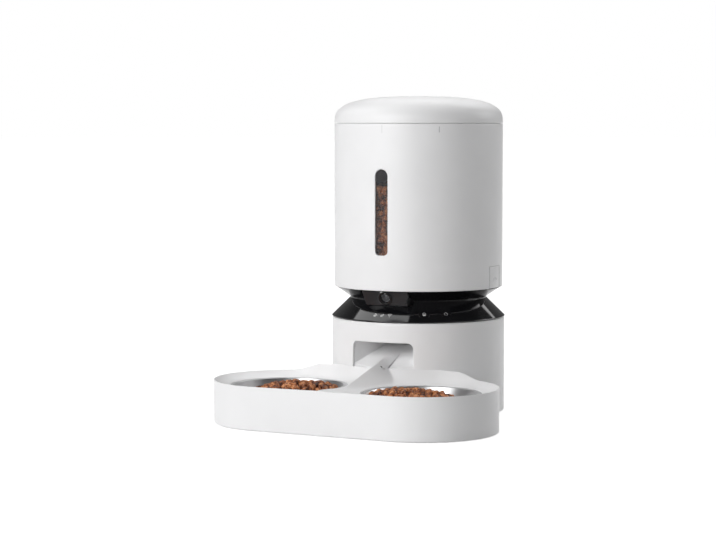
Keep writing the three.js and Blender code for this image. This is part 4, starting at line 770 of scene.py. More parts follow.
# %% [markdown]
# ## Waist
#
# The waist is two polished cones, one upside down on the other. The lower one carries the icons
# and two flush round buttons, the upper one carries the hopper. Both are lathe work with the
# camera's notch cut out of the front, and here a boolean cut is fine: its edges are hidden.

# %% Lower cone
LIP_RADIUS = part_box("control_ring")[1].x
LIP_HEIGHT = 105.2 * MM
RING_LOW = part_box("control_ring")[0].z
RING_FOOT = shell_high.z + GAP
RING_SPIGOT_OUTER = BASE_RADIUS - BASE_WALL - GAP
RING_SPIGOT_WALL = 1.8 * MM
RING_SPIGOT_INNER = RING_SPIGOT_OUTER - RING_SPIGOT_WALL
WAIST_RADIUS = 74.7 * MM
WAIST_HEIGHT = 125.5 * MM
WAIST_WALL = 2.5 * MM
WAIST_BAND = 0.5 * MM
THROAT = 72.2 * MM
CONE_SLOPE = math.atan2(WAIST_HEIGHT - LIP_HEIGHT, LIP_RADIUS - WAIST_RADIUS)
HOUSING_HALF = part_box("camera_housing")[1].x
HOUSING_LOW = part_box("camera_housing")[0].z
HOUSING_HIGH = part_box("camera_housing")[1].z
HOUSING_BACK = 63 * MM
BUTTON_CIRCLE = 87.7 * MM
BUTTON_RADIUS = 5 * MM
BUTTON_DEPTH = 4 * MM
FEED_TURN = 29.7
NETWORK_TURN = 45.2


def cone_height(radius):
    return LIP_HEIGHT + (LIP_RADIUS - radius) * math.tan(CONE_SLOPE)


def cone_place(radius, turn):
    """A matrix with z out of the lower cone's face, x round it and y up it."""
    angle = math.radians(turn)
    across = Vector((math.cos(angle), math.sin(angle), 0))
    outward = Vector((math.sin(angle), -math.cos(angle), 0))
    normal = outward * math.sin(CONE_SLOPE) + Vector((0, 0, math.cos(CONE_SLOPE)))
    upward = normal.cross(across)
    turned = Matrix((across, upward, normal)).transposed().to_4x4()
    return Matrix.Translation(on_axis(radius, turn, cone_height(radius))) @ turned


def camera_notch(low):
    half = HOUSING_HALF + GAP
    front = AXIS_Y - BASE_RADIUS - OVERRUN
    back = AXIS_Y - HOUSING_BACK + OVERRUN / 2
    return box_piece("notch", (-half, front, low), (half, back, HOUSING_HIGH + GAP))


wall_across = WAIST_WALL / math.sin(CONE_SLOPE)
ring_outline = rounded([
    (RING_SPIGOT_INNER, RING_LOW, 0),
    (RING_SPIGOT_OUTER, RING_LOW, 0),
    (RING_SPIGOT_OUTER, RING_FOOT, 0),
    (LIP_RADIUS - GAP, RING_FOOT, CRISP_EDGE),
    (LIP_RADIUS, LIP_HEIGHT, LIP_EDGE),
    (WAIST_RADIUS + WAIST_BAND, WAIST_HEIGHT - WAIST_BAND, HAIR_EDGE),
    (WAIST_RADIUS + WAIST_BAND, WAIST_HEIGHT, BAND_EDGE),
    (THROAT, WAIST_HEIGHT, FINE_EDGE),
    (THROAT, cone_height(THROAT + wall_across), 0),
    (RING_SPIGOT_INNER, cone_height(RING_SPIGOT_INNER + wall_across), 0),
])
lower_cone = lathe("lower_cone", ring_outline)
button_holes = [
    lathe(
        "hole", rod_outline(BUTTON_RADIUS + GAP, -BUTTON_DEPTH, OVERRUN), SMALL_SIDES,
        Vector(), cone_place(BUTTON_CIRCLE, turn),
    )
    for turn in (FEED_TURN, NETWORK_TURN)
]
carve(lower_cone, camera_notch(HOUSING_LOW - GAP), *button_holes)
hand_over(lower_cone, "base", "black_gloss", black_gloss, "control_ring")

# %% [markdown]
# The upper cone ends in a deck with a square drop for the food and a hole for the drive's shaft. A
# low collar centres the hopper, and behind each release button stands a hook that the real arm
# catches.

# %% Upper cone, with the deck that the hopper stands on
RIM_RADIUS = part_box("waist_cone")[1].x
RIM_HEIGHT = 137 * MM
DECK_TOP = 139.5 * MM
CONE_START = WAIST_HEIGHT + GAP
CONE_WALL_ACROSS = 4.45 * MM
CONE_EASE = 0.4 * MM
SKIRT_INNER = 69.7 * MM
SKIRT_OUTER = 71.9 * MM
SKIRT_HEIGHT = 4.8 * MM
SKIRT_LOW = CONE_START - SKIRT_HEIGHT
SPIGOT_PLAY = 0.6 * MM
SPIGOT_WALL = 2.6 * MM
SPIGOT_HEIGHT = 5.5 * MM
SPIGOT_OUTER = HOPPER_RADIUS - HOPPER_WALL - SPIGOT_PLAY
SPIGOT_INNER = SPIGOT_OUTER - SPIGOT_WALL
SPIGOT_TOP = DECK_TOP + SPIGOT_HEIGHT
CUT_LOW = RIM_HEIGHT - 2 * OVERRUN
DROP_HALF = 17 * MM
DROP_FORWARD = 42 * MM
SHAFT_HOLE = 7.2 * MM
CATCH_OUTER = 84.5 * MM
CATCH_INNER = 81 * MM
CATCH_TOP = 146 * MM
CATCH_HALF = 9 * MM
CATCH_WALL = 2 * MM
CATCH_SUNK = 1 * MM
CATCH_NEAR = 60 * MM
RELEASE_HALF = 12.6 * MM
RELEASE_PLAY = 0.6 * MM
RELEASE_INNER = 85.9 * MM
RELEASE_OUTER = 99 * MM

upper_outline = rounded([
    (0, RIM_HEIGHT, 0),
    (RIM_RADIUS - CONE_WALL_ACROSS, RIM_HEIGHT, 0),
    (SKIRT_INNER, CONE_START - CONE_EASE, 0),
    (SKIRT_INNER, SKIRT_LOW, 0),
    (SKIRT_OUTER, SKIRT_LOW, FINE_EDGE),
    (SKIRT_OUTER, CONE_START, 0),
    (WAIST_RADIUS + WAIST_BAND, CONE_START, BAND_EDGE),
    (WAIST_RADIUS + WAIST_BAND, CONE_START + WAIST_BAND / 2, HAIR_EDGE),
    (RIM_RADIUS, RIM_HEIGHT, CRISP_EDGE),
    (SPIGOT_OUTER, RIM_HEIGHT, 0),
    (SPIGOT_OUTER, SPIGOT_TOP, SOFT_EDGE),
    (SPIGOT_INNER, SPIGOT_TOP, SOFT_EDGE),
    (SPIGOT_INNER, DECK_TOP, SMALL_EDGE),
    (0, DECK_TOP, 0),
])
upper_cone = lathe("upper_cone", upper_outline)
drop_cut = box_piece(
    "drop",
    (-DROP_HALF, AXIS_Y - DROP_FORWARD - DROP_HALF, CUT_LOW),
    (DROP_HALF, AXIS_Y - DROP_FORWARD + DROP_HALF, DECK_TOP + OVERRUN),
)
shaft_cut = lathe("shaft", rod_outline(SHAFT_HOLE, CUT_LOW, DECK_TOP + OVERRUN), SMALL_SIDES)
release_cuts = [
    box_piece(
        "room",
        (near, AXIS_Y - RELEASE_HALF - RELEASE_PLAY, RIM_HEIGHT + TINY),
        (far, AXIS_Y + RELEASE_HALF + RELEASE_PLAY, CATCH_TOP + OVERRUN),
    )
    for near, far in ((-RELEASE_OUTER, -RELEASE_INNER), (RELEASE_INNER, RELEASE_OUTER))
]
carve(upper_cone, camera_notch(SKIRT_LOW - OVERRUN), drop_cut, shaft_cut, *release_cuts)


def catch(side):
    """A ring's hooked section, of which only a short piece at one side is kept."""
    low = DECK_TOP - CATCH_SUNK
    back = CATCH_OUTER - CATCH_WALL
    under = CATCH_TOP - CATCH_WALL
    hook = rounded([
        (back, low, 0), (CATCH_OUTER, low, 0), (CATCH_OUTER, CATCH_TOP, EASY_EDGE),
        (CATCH_INNER, CATCH_TOP, EASY_EDGE), (CATCH_INNER, under, FINE_EDGE), (back, under, FINE_EDGE),
    ])
    near, far = sorted((side * CATCH_NEAR, side * RELEASE_OUTER))
    room = box_piece(
        "room",
        (near, AXIS_Y - CATCH_HALF, low - CATCH_SUNK), (far, AXIS_Y + CATCH_HALF, CATCH_TOP + CATCH_SUNK),
    )
    return carve(lathe("catch", hook), room, operation="INTERSECT")


upper_cone = joined("upper_cone_and_deck", upper_cone, catch(-1), catch(1))
hand_over(upper_cone, "base", "black_gloss", black_gloss, "waist_cone")

# %% [markdown]
# ## Hopper
#
# The hopper is the second drum, with the tall round-topped window and two notches in its lower
# rim, in which the release buttons sit. A flange inside the mouth takes the lugs of the lid.

# %% Hopper drum
WINDOW_HALF = 7.35 * MM
WINDOW_LOW = 175.3 * MM
WINDOW_HIGH = 267 * MM
WINDOW_CORNER = 4.5 * MM
WINDOW_MARGIN_TURN = 9
WINDOW_MARGIN = 8 * MM
RELEASE_TURN = 90
NOTCH_HALF_TURN = 8.3
NOTCH_HIGH = 161.4 * MM
HOPPER_FILLET = 0.8 * MM

hopper_turns = spread(
    [
        -180, -RELEASE_TURN - NOTCH_HALF_TURN, -RELEASE_TURN + NOTCH_HALF_TURN, -WINDOW_MARGIN_TURN,
        WINDOW_MARGIN_TURN, RELEASE_TURN - NOTCH_HALF_TURN, RELEASE_TURN + NOTCH_HALF_TURN, 180,
    ],
    TURN_STEP,
)
hopper_heights = spread(
    [
        hopper_low.z, NOTCH_HIGH, WINDOW_LOW - WINDOW_MARGIN, WINDOW_HIGH + WINDOW_MARGIN,
        hopper_high.z,
    ],
    HEIGHT_STEP,
)
hopper_skin = DrumSkin(HOPPER_RADIUS, hopper_turns, hopper_heights)
for side in (-1, 1):
    hopper_skin.leave_out(
        (side * RELEASE_TURN - NOTCH_HALF_TURN, side * RELEASE_TURN + NOTCH_HALF_TURN), (0, NOTCH_HIGH),
    )
hopper_skin.patch(
    (-WINDOW_MARGIN_TURN, WINDOW_MARGIN_TURN),
    (WINDOW_LOW - WINDOW_MARGIN, WINDOW_HIGH + WINDOW_MARGIN), 0,
    opening_sides(WINDOW_HALF, WINDOW_LOW, WINDOW_HIGH, WINDOW_CORNER, WINDOW_HALF),
)
hopper_drum = hopper_skin.piece("hopper_drum", HOPPER_WALL, HOPPER_FILLET)
hand_over(hopper_drum, "hopper", "white_plastic", white_plastic, "hopper_shell")

# %% [markdown]
# ## Lid
#
# Seen from the side, the lid is neither an arc nor a box: it follows a superellipse, flat in the
# middle and quick to turn down at its edge. That is a rule, so Geometry Nodes make it: a flat grid
# is read as turn and share, and each point is set on the curve. Changing Power changes the dome.

# %% Geometry Nodes helpers
def start_tree(name, inputs):
    """An empty geometry tree with named inputs, its input node and its output node."""
    tree = bpy.data.node_groups.new(name, "GeometryNodeTree")
    tree.interface.new_socket("Geometry", in_out="INPUT", socket_type="NodeSocketGeometry")
    for label, kind in inputs:
        tree.interface.new_socket(label, in_out="INPUT", socket_type=kind)
    tree.interface.new_socket("Geometry", in_out="OUTPUT", socket_type="NodeSocketGeometry")
    return tree, tree.nodes.new("NodeGroupInput"), tree.nodes.new("NodeGroupOutput")


def add_node(tree, kind, links=None, **settings):
    """A node whose inputs are linked or set by name or number."""
    node = tree.nodes.new(kind)
    for label, value in settings.items():
        setattr(node, label, value)
    for label, value in (links or {}).items():
        if isinstance(value, bpy.types.NodeSocket):
            tree.links.new(value, node.inputs[label])
        else:
            node.inputs[label].default_value = value
    return node


def calculate(tree, operation, *values):
    return add_node(tree, "ShaderNodeMath", dict(enumerate(values)), operation=operation).outputs[0]


def end_tree(tree, leave, shape, material):
    real = add_node(tree, "GeometryNodeRealizeInstances", {"Geometry": shape})
    painted = add_node(tree, "GeometryNodeSetMaterial", {"Geometry": real.outputs[0], "Material": material})
    tree.links.new(painted.outputs[0], leave.inputs[0])


def grown_piece(name, tree, values, source=None):
    mesh = source.data if source else bpy.data.meshes.new(name)
    piece = bpy.data.objects.new(name, mesh)
    scene.collection.objects.link(piece)
    change = piece.modifiers.new(tree.name, "NODES")
    change.node_group = tree
    for item in tree.interface.items_tree:
        if item.in_out == "INPUT" and item.name in values:
            change[item.identifier] = values[item.name]
    bpy.context.view_layer.update()
    depsgraph = bpy.context.evaluated_depsgraph_get()
    result = bpy.data.meshes.new_from_object(piece.evaluated_get(depsgraph))
    piece.modifiers.clear()
    piece.data = result
    if source:
        bpy.data.objects.remove(source)
    return piece


# %% [markdown]
# The dome is made as a skin. Its rim is drawn straight down for a short way, Solidify gives it a
# wall and Bevel its soft edge. The photograph's dome is a little flatter than the solid's, which
# LID_EASE takes off its rise.

# %% Lid dome
LID_STRAIGHT = 1 * MM
LID_EASE = 1.9 * MM
LID_RISE = lid_high.z - lid_low.z - LID_STRAIGHT - LID_EASE
LID_POWER = 2.9
LID_WALL = 2.5 * MM
LID_STEPS = 48


def dome_tree():
    inputs = [(label, "NodeSocketFloat") for label in ("Radius", "Rise", "Power")]
    tree, enter, leave = start_tree("dome", inputs)
    grid = add_node(tree, "GeometryNodeMeshGrid", {
        "Size X": 1.0, "Size Y": 1.0, "Vertices X": ROUND_SIDES + 1, "Vertices Y": LID_STEPS + 1,
    })
    spot = tree.nodes.new("GeometryNodeInputPosition").outputs[0]
    place = add_node(tree, "ShaderNodeSeparateXYZ", {0: spot})
    turn = calculate(tree, "MULTIPLY", place.outputs[0], 2 * math.pi)
    share = calculate(tree, "ADD", place.outputs[1], 0.5)
    angle = calculate(tree, "MULTIPLY", share, math.pi / 2)
    bend = calculate(tree, "DIVIDE", 2.0, enter.outputs["Power"])
    cosine = calculate(tree, "MAXIMUM", calculate(tree, "COSINE", angle), 0.0)
    across = calculate(tree, "MULTIPLY", calculate(tree, "POWER", cosine, bend), enter.outputs["Radius"])
    sine = calculate(tree, "MAXIMUM", calculate(tree, "SINE", angle), 0.0)
    up = calculate(tree, "MULTIPLY", calculate(tree, "POWER", sine, bend), enter.outputs["Rise"])
    position = add_node(tree, "ShaderNodeCombineXYZ", {
        0: calculate(tree, "MULTIPLY", across, calculate(tree, "COSINE", turn)),
        1: calculate(tree, "MULTIPLY", across, calculate(tree, "SINE", turn)),
        2: up,
    })
    placed = add_node(tree, "GeometryNodeSetPosition", {
        "Geometry": grid.outputs["Mesh"], "Position": position.outputs[0],
    })
    welded = add_node(tree, "GeometryNodeMergeByDistance", {"Geometry": placed.outputs[0], "Distance": WELD})
    end_tree(tree, leave, welded.outputs[0], white_plastic)
    return tree


def lower_edge(piece, drop):
    """Lengthens an open dome downwards from its rim."""
    with edited(piece) as mesh:
        bmesh.ops.translate(mesh, verts=drawn_rim(mesh), vec=(0, 0, -drop))
        bmesh.ops.recalc_face_normals(mesh, faces=mesh.faces)


lid_sizes = {"Radius": HOPPER_RADIUS, "Rise": LID_RISE, "Power": LID_POWER}
lid_shell = grown_piece("lid_shell", dome_tree(), lid_sizes)
lower_edge(lid_shell, LID_STRAIGHT)
lid_shell.data.transform(Matrix.Translation((0, AXIS_Y, lid_low.z + LID_STRAIGHT)))
lid_wall = lid_shell.modifiers.new("wall", "SOLIDIFY")
lid_wall.thickness = LID_WALL
lid_wall.offset = -1
soften(lid_shell, LIP_EDGE)
hand_over(lid_shell, "lid", "white_plastic", white_plastic, "lid_dome")

# %% [markdown]
# ## Mouth of the hopper
#
# A twist lid needs a flange in the mouth with gaps for the lid's lugs. The flange is lathe work, and
# its gaps are cut by boxes turned to the three places.

# %% Mouth flange
FLANGE_INNER = 85 * MM
FLANGE_SUNK = 0.4 * MM
FLANGE_OUTER = HOPPER_RADIUS - HOPPER_WALL + FLANGE_SUNK
FLANGE_LOW = 309 * MM
FLANGE_TOP = 311.5 * MM
LUG_HALF = 12.6 * MM
LUG_REACH = 88.8 * MM
LUG_TURNS = (60, 180, 300)


def turned_box(name, low, high, turn):
    piece = box_piece(name, low, high)
    turned = Matrix.Rotation(math.radians(turn), 4, "Z")
    piece.data.transform(Matrix.Translation((0, AXIS_Y, 0)) @ turned)
    return piece


mouth_flange = lathe("mouth_flange", rounded([
    (FLANGE_INNER, FLANGE_LOW, SMALL_EDGE), (FLANGE_OUTER, FLANGE_LOW, 0),
    (FLANGE_OUTER, FLANGE_TOP, 0), (FLANGE_INNER, FLANGE_TOP, SMALL_EDGE),
]))
lug_gaps = [
    turned_box(
        "gap", (HOPPER_RADIUS / 2, -LUG_HALF, FLANGE_LOW - OVERRUN),
        (LUG_REACH, LUG_HALF, FLANGE_TOP + OVERRUN), turn - 90,
    )
    for turn in LUG_TURNS
]
carve(mouth_flange, *lug_gaps)
hand_over(mouth_flange, "hopper", "white_plastic", white_plastic)

# %% [markdown]
# Two faint marks on the wall show where the lid is shut and where it is free. They are thin pads
# that stand a little proud. `raised` lays any flat outline on a surface, and the icons use it too.

# %% Marks for shut and free
PRINT_PROUD = 0.06 * MM
PRINT_SUNK = 0.05 * MM
MARK_HALF = 0.55 * MM
MARK_STEPS = 13
SHUT_TURN = 0.6
SHUT_SPAN = (305.4 * MM, 314.4 * MM)
FREE_TURN = 39.2
FREE_SPAN = (306.2 * MM, 312.6 * MM)


def raised(name, outlines, placed, proud=PRINT_PROUD, sunk=PRINT_SUNK):
    """Flat shapes given by outlines (u, v), set on a surface and standing slightly proud of it."""
    points, faces = [], []
    for outline in outlines:
        count = len(outline)
        start = len(points)
        points += [placed(u, v, proud) for u, v in outline]
        points += [placed(u, v, -sunk) for u, v in outline]
        faces.append(tuple(range(start, start + count)))
        faces.append(tuple(range(start + 2 * count - 1, start + count - 1, -1)))
        for place in range(count):
            after = (place + 1) % count
            faces.append((start + place, start + count + place, start + count + after, start + after))
    return fix_faces(add_piece(name, points, faces))


def on_hopper(turn, unit=1.0, level=0.0):
    """Lays u and v, given in a unit, on the hopper's wall at a turn and a level."""
    return lambda u, v, proud: on_axis(
        HOPPER_RADIUS + proud, turn + math.degrees(u * unit / HOPPER_RADIUS), level + v * unit,
    )


def wall_mark(name, turn, span, material):
    """An upright pad with round ends."""
    low, high = span
    outline = arc(MARK_HALF, 0, 180, (0, high - MARK_HALF), MARK_STEPS)
    outline += arc(MARK_HALF, 180, 360, (0, low + MARK_HALF), MARK_STEPS)
    hand_over(raised(name, [outline], on_hopper(turn)), "hopper", "inner_plastic", material)


wall_mark("shut_mark", SHUT_TURN, SHUT_SPAN, mark_pale)
wall_mark("free_mark", FREE_TURN, FREE_SPAN, mark_grey)

# %% [markdown]
# ## Window
#
# The window is a clear plate, bent to the wall and set a hair below its face. Alpha alone makes it
# clear: real refraction would cost much and change nothing in so thin a plate.

# %% Smoked pane
PANE_SET = 0.35 * MM
PANE_RADIUS = HOPPER_RADIUS - PANE_SET
PANE_WALL = 1.9 * MM
PANE_PLAY = 0.2 * MM
PANE_EASE = 0.25 * MM
PANE_SHARES = (1, 0.97, 0.8, 0.5, 0.2)


def pane_piece():
    """Rings that shrink towards the window's middle line, the outermost let down a little."""
    half = WINDOW_HALF - PANE_PLAY
    outline = np.vstack(opening_sides(
        half, WINDOW_LOW + PANE_PLAY, WINDOW_HIGH - PANE_PLAY, WINDOW_CORNER, half,
    ))
    middle = (WINDOW_LOW + WINDOW_HIGH) / 2
    points = []
    for share in PANE_SHARES:
        drop = 0.0 if share < 1 else PANE_EASE
        squeezed = 1 - (1 - share) * WINDOW_HALF / (WINDOW_HIGH - middle)
        for u, v in outline:
            turn = math.degrees(u * share / PANE_RADIUS)
            points.append(on_axis(PANE_RADIUS - drop, turn, middle + (v - middle) * squeezed))
    count = len(outline)
    faces = bands(len(PANE_SHARES), count)
    faces.append(tuple(range(len(points) - count, len(points))))
    piece = fix_faces(add_piece("window_plate", points, faces), TINY)
    wall = piece.modifiers.new("wall", "SOLIDIFY")
    wall.thickness = PANE_WALL
    wall.offset = -1
    return settle(piece)


window_plate = pane_piece()
hand_over(window_plate, "hopper", "smoked_window", smoked_window, "window_pane")

# %% [markdown]
# ## Tray
#
# The tray's top is a rule too: from the edge of each bowl it rises to the rim along a power curve,
# and a crest runs forward from the base between the bowls and drops to both sides. The height is
# the smooth maximum of the two. The rule reads and gives plain millimetres from the base's axis.

# %% The tray's rule
BOWL_OFFSET = 77.6
BOWL_REACH = 154.4
TRAY_END = 79.8
TRAY_WALL = 3.0
TRAY_BOTTOM = 0.8
RIM_FRONT = 47.2
RIM_LIP = 54.5
RIM_ROUND = 2.4
RIM_DROP = 1.0
LIP_HALF = 80.0
FALL_HALF = 112.0
EDGE_HEIGHT = 40.0
EDGE_RADIUS = 62.7
SCOOP_POWER = 1.7
MID_LOW = 43.4
MID_REACH = 168.0
CREST_HEIGHT = 63.0
CREST_REACH = 92.2
CREST_SLOPE = 0.236
FLANK_SLOPE = 0.82
RIDGE_BLEND = 1.6
RIDGE_ROUND = 0.9
REACH_BLEND = 4.0
LOWER_EDGE = 0.8
BASE_ROOM = 0.4
MIDDLE_BAND = 0.01
SEAM_BAND = 0.05
base_mm = BASE_RADIUS / MM


def smooth(share):
    held = np.clip(share, 0, 1)
    return held * held * (3 - 2 * held)


def tray_reach(angle, inset=0.0):
    """How far the tray's outline is from the bowl's middle, on its half of the tray."""
    radius = TRAY_END - inset
    inward = -np.cos(angle)
    straight = np.minimum(
        radius / np.maximum(np.abs(np.sin(angle)), TINY), BOWL_OFFSET / np.maximum(inward, TINY)
    )
    return np.where(inward <= TINY, radius, straight)


def wall_reach(angle):
    """How far the base's wall is from the bowl's middle, in the directions that meet it."""
    toward = BOWL_REACH * np.sin(angle) - BOWL_OFFSET * np.cos(angle)
    chord = toward ** 2 - BOWL_OFFSET ** 2 - BOWL_REACH ** 2 + (base_mm + BASE_ROOM) ** 2
    hits = (toward > 0) & (chord > 0)
    return np.where(hits, toward - np.sqrt(np.maximum(chord, 0)), np.inf)


def rim_height(x, y):
    rear = MID_LOW + (RIM_LIP - MID_LOW) * smooth((y + MID_REACH) / (MID_REACH - base_mm))
    front_share = (-y - MID_REACH) / (BOWL_REACH + TRAY_END - MID_REACH)
    front = MID_LOW + (RIM_FRONT - MID_LOW) * smooth(front_share)
    middle = np.where(y > -MID_REACH, rear, front)
    fall = RIM_LIP + (RIM_FRONT - RIM_LIP) * smooth((x - LIP_HALF) / (FALL_HALF - LIP_HALF))
    side = np.where(y < -BOWL_REACH, RIM_FRONT, fall)
    return np.where(x < MIDDLE_BAND, middle, side)


def tray_top(x, y):
    """The height of the tray's top over a place, in millimetres."""
    across = np.abs(x) - BOWL_OFFSET
    forward = y + BOWL_REACH
    distance = np.hypot(across, forward)
    angle = np.arctan2(forward, across)
    nearness = [-limit(angle) / REACH_BLEND for limit in (tray_reach, wall_reach)]
    reach = -REACH_BLEND * np.logaddexp(*nearness)
    share = np.clip((distance - EDGE_RADIUS) / (reach - EDGE_RADIUS), 0, 1)
    rim_x = np.maximum(0, BOWL_OFFSET + reach * np.cos(angle))
    rim = rim_height(rim_x, -BOWL_REACH + reach * np.sin(angle))
    scoop = EDGE_HEIGHT + (rim - EDGE_HEIGHT) * share ** SCOOP_POWER
    flank = (np.hypot(x, RIDGE_ROUND) - RIDGE_ROUND) * FLANK_SLOPE
    crest = CREST_HEIGHT + (y + CREST_REACH) * CREST_SLOPE - flank
    top = (scoop + crest + np.hypot(scoop - crest, RIDGE_BLEND)) / 2
    outline_gap = np.where(across > 0, TRAY_END - distance, TRAY_END - np.abs(forward))
    return top - RIM_DROP * np.clip(1 - outline_gap / RIM_ROUND, 0, 1) ** 2


# %% [markdown]
# The rule is worked out over a polar grid round each bowl and closed below as a solid, whose lower
# outer edge is set in a little. A second, smaller solid hollows it, and both are cut round where the
# base stands. The shares say where the grid's rings lie between the bowl and the rim.

# %% The tray's body
TRAY_COLUMNS = 640
CAVITY_COLUMNS = 120
TRAY_SHARES = (
    0, 0.05, 0.12, 0.2, 0.28, 0.36, 0.44, 0.52, 0.6, 0.68, 0.75, 0.81, 0.86, 0.9, 0.935, 0.965, 0.985, 1,
)
CAVITY_SHARES = (0, 0.35, 0.7, 1)
COLLAR_TOP = 30 * MM
CUT_TOP = 200 * MM
BOWL_NAMES = ("bowl_left", "bowl_right")
BOWL_PLACES = [Vector((side * BOWL_OFFSET * MM, -BOWL_REACH * MM)) for side in (-1, 1)]
BOWL_MIDDLES = [Vector((place.x, AXIS_Y + place.y, 0)) for place in BOWL_PLACES]


def tray_angles(inset, count):
    """Turns round a bowl that hit every corner of the tray's outline."""
    corner = 2 * math.pi - math.atan2(TRAY_END - inset, -BOWL_OFFSET)
    wall_corner = math.atan2(BOWL_REACH - base_mm, -BOWL_OFFSET)
    stops = spread([-math.pi / 2, math.pi / 2, wall_corner, corner, 1.5 * math.pi], 2 * math.pi / count)
    return np.array(stops[:-1])


def set_in(inner, outer):
    """The place a little inside the outer point, on the way to the inner one."""
    if outer[0] == 0:
        return outer[0], outer[1]
    along = Vector(inner[:2]) - Vector(outer[:2])
    return Vector(outer[:2]) + along.normalized() * LOWER_EDGE


def tray_body(name, inner, inset, low, count, shares):
    """Both halves of the tray as one closed solid, open round each bowl."""
    angles = tray_angles(inset, count)
    shares = np.array(shares)
    reach = np.minimum(tray_reach(angles, inset), wall_reach(angles) + GAP / MM)[:, None]
    radius = inner + (reach - inner) * shares[None, :]
    across = BOWL_OFFSET + radius * np.cos(angles)[:, None]
    along = -BOWL_REACH + radius * np.sin(angles)[:, None]
    across[:, -1] = np.where(np.abs(across[:, -1]) < SEAM_BAND, 0, across[:, -1])
    top = tray_top(across, along) - inset
    rows = len(shares)
    stride = rows + 3
    points, faces = [], []
    for side in (-1, 1):
        start = len(points)
        for place in range(len(angles)):
            ring = [(side * across[place, row], along[place, row], top[place, row]) for row in range(rows)]
            ring += [(ring[0][0], ring[0][1], low), (*set_in(ring[0], ring[-1]), low)]
            ring.append((ring[rows - 1][0], ring[rows - 1][1], low + LOWER_EDGE))
            points += [Vector(point) * MM + Vector((0, AXIS_Y, 0)) for point in ring]
        for place in range(len(angles)):
            here = start + place * stride
            after = start + (place + 1) % len(angles) * stride
            for row in range(rows - 1):
                faces.append((here + row, here + row + 1, after + row + 1, after + row))
            faces.append((here + rows, here + rows + 1, after + rows + 1, after + rows))
            faces.append((here, here + rows, after + rows, after))
            inside = abs(points[here + rows - 1].x) < TINY and abs(points[after + rows - 1].x) < TINY
            if not inside:
                faces.append((here + rows - 1, here + rows + 2, after + rows + 2, after + rows - 1))
                faces.append((here + rows + 2, here + rows + 1, after + rows + 1, after + rows + 2))
    return fix_faces(add_piece(name, points, faces), POINT_WELD)


def upright_rod(name, radius, low, high, middle=(0, 0), sides=SMALL_SIDES):
    place = Vector((middle[0], AXIS_Y + middle[1], 0))
    return lathe(name, rod_outline(radius, low, high), sides, place)


feeding_tray = tray_body("feeding_tray", EDGE_RADIUS, 0, TRAY_BOTTOM, TRAY_COLUMNS, TRAY_SHARES)
carve(feeding_tray, upright_rod(
    "base", BASE_RADIUS + BASE_ROOM * MM, -OVERRUN, CUT_TOP, sides=ROUND_SIDES,
))
cavity_inner = EDGE_RADIUS + TRAY_WALL
cavity = tray_body("cavity", cavity_inner, TRAY_WALL, -OVERRUN / MM, CAVITY_COLUMNS, CAVITY_SHARES)
carve(cavity, upright_rod(
    "base", BASE_RADIUS + (BASE_ROOM + TRAY_WALL) * MM, -2 * OVERRUN, CUT_TOP, sides=ROUND_SIDES,
))
collars = joined("collars", *[
    upright_rod("collar", cavity_inner * MM + GAP, -2 * OVERRUN, COLLAR_TOP, place, ROUND_SIDES)
    for place in BOWL_PLACES
])
carve(feeding_tray, cavity, collars)
print("tray faces", len(feeding_tray.data.polygons))

# %% [markdown]
# Below its top the tray has a ledge under each bowl's rim, two pegs that slide into the base, pads
# for its rubber feet and a boss for the divider's screw. They are joined to it as one union.

# %% The tray's ledges, pegs, pads and boss
LEDGE_TOP = 38.4 * MM
LEDGE_LOW = 35.9 * MM
LEDGE_INNER = 59.1 * MM
LEDGE_OUTER = (EDGE_RADIUS + TRAY_WALL / 2) * MM
PEG_X = 30 * MM
PEG_REACH = 85.6 * MM
PEG_SUNK = 2 * MM
PEG_ARM_HALF = 4 * MM
PEG_ARM_LOW = 10 * MM
PEG_ARM_HIGH = 16 * MM
PAD_RADIUS = 8 * MM
PAD_LOW = 1.85 * MM
PAD_HIGH = 3.8 * MM
TRAY_FOOT_ACROSS = 127.3 * MM
TRAY_FOOT_REACHES = (-104.7 * MM, -204.1 * MM)
TRAY_FOOT_PLACES = [(side * TRAY_FOOT_ACROSS, reach) for side in (-1, 1) for reach in TRAY_FOOT_REACHES]
TAB_SCREW = (5 * MM, -101 * MM)
BOSS_RADIUS = 3 * MM
BOSS_LOW = 51.2 * MM
BOSS_HIGH = 56.5 * MM
SLOT_HALF = 7.8 * MM
SLOT_LOW = 48.2 * MM
SLOT_FORWARD = 7 * MM
SLOT_BACK = 3 * MM
PILOT_RADIUS = 1.3 * MM
PILOT_LOW = 48 * MM
PILOT_HIGH = 80 * MM


def tray_peg(x):
    low = (x - PEG_ARM_HALF, AXIS_Y - BASE_RADIUS - PEG_SUNK, PEG_ARM_LOW)
    high = (x + PEG_ARM_HALF, AXIS_Y - PEG_REACH, PEG_ARM_HIGH)
    return soften(box_piece("peg", low, high), ROUND_EDGE)


ledge_outline = rounded([
    (LEDGE_INNER, LEDGE_LOW, EASY_EDGE), (LEDGE_OUTER, LEDGE_LOW, 0),
    (LEDGE_OUTER, LEDGE_TOP, 0), (LEDGE_INNER, LEDGE_TOP, EASY_EDGE),
])
extras = [lathe("ledge", ledge_outline, ROUND_SIDES, middle) for middle in BOWL_MIDDLES]
extras += [tray_peg(x) for x in (-PEG_X, PEG_X)]
extras += [upright_rod("pad", PAD_RADIUS, PAD_LOW, PAD_HIGH, place) for place in TRAY_FOOT_PLACES]
extras.append(upright_rod("boss", BOSS_RADIUS, BOSS_LOW, BOSS_HIGH, TAB_SCREW))
carve(feeding_tray, joined("extras", *extras), operation="UNION")
tab_slot = box_piece(
    "slot",
    (-SLOT_HALF, AXIS_Y - BASE_RADIUS - SLOT_FORWARD, SLOT_LOW),
    (SLOT_HALF, AXIS_Y - BASE_RADIUS + SLOT_BACK, BOSS_LOW),
)
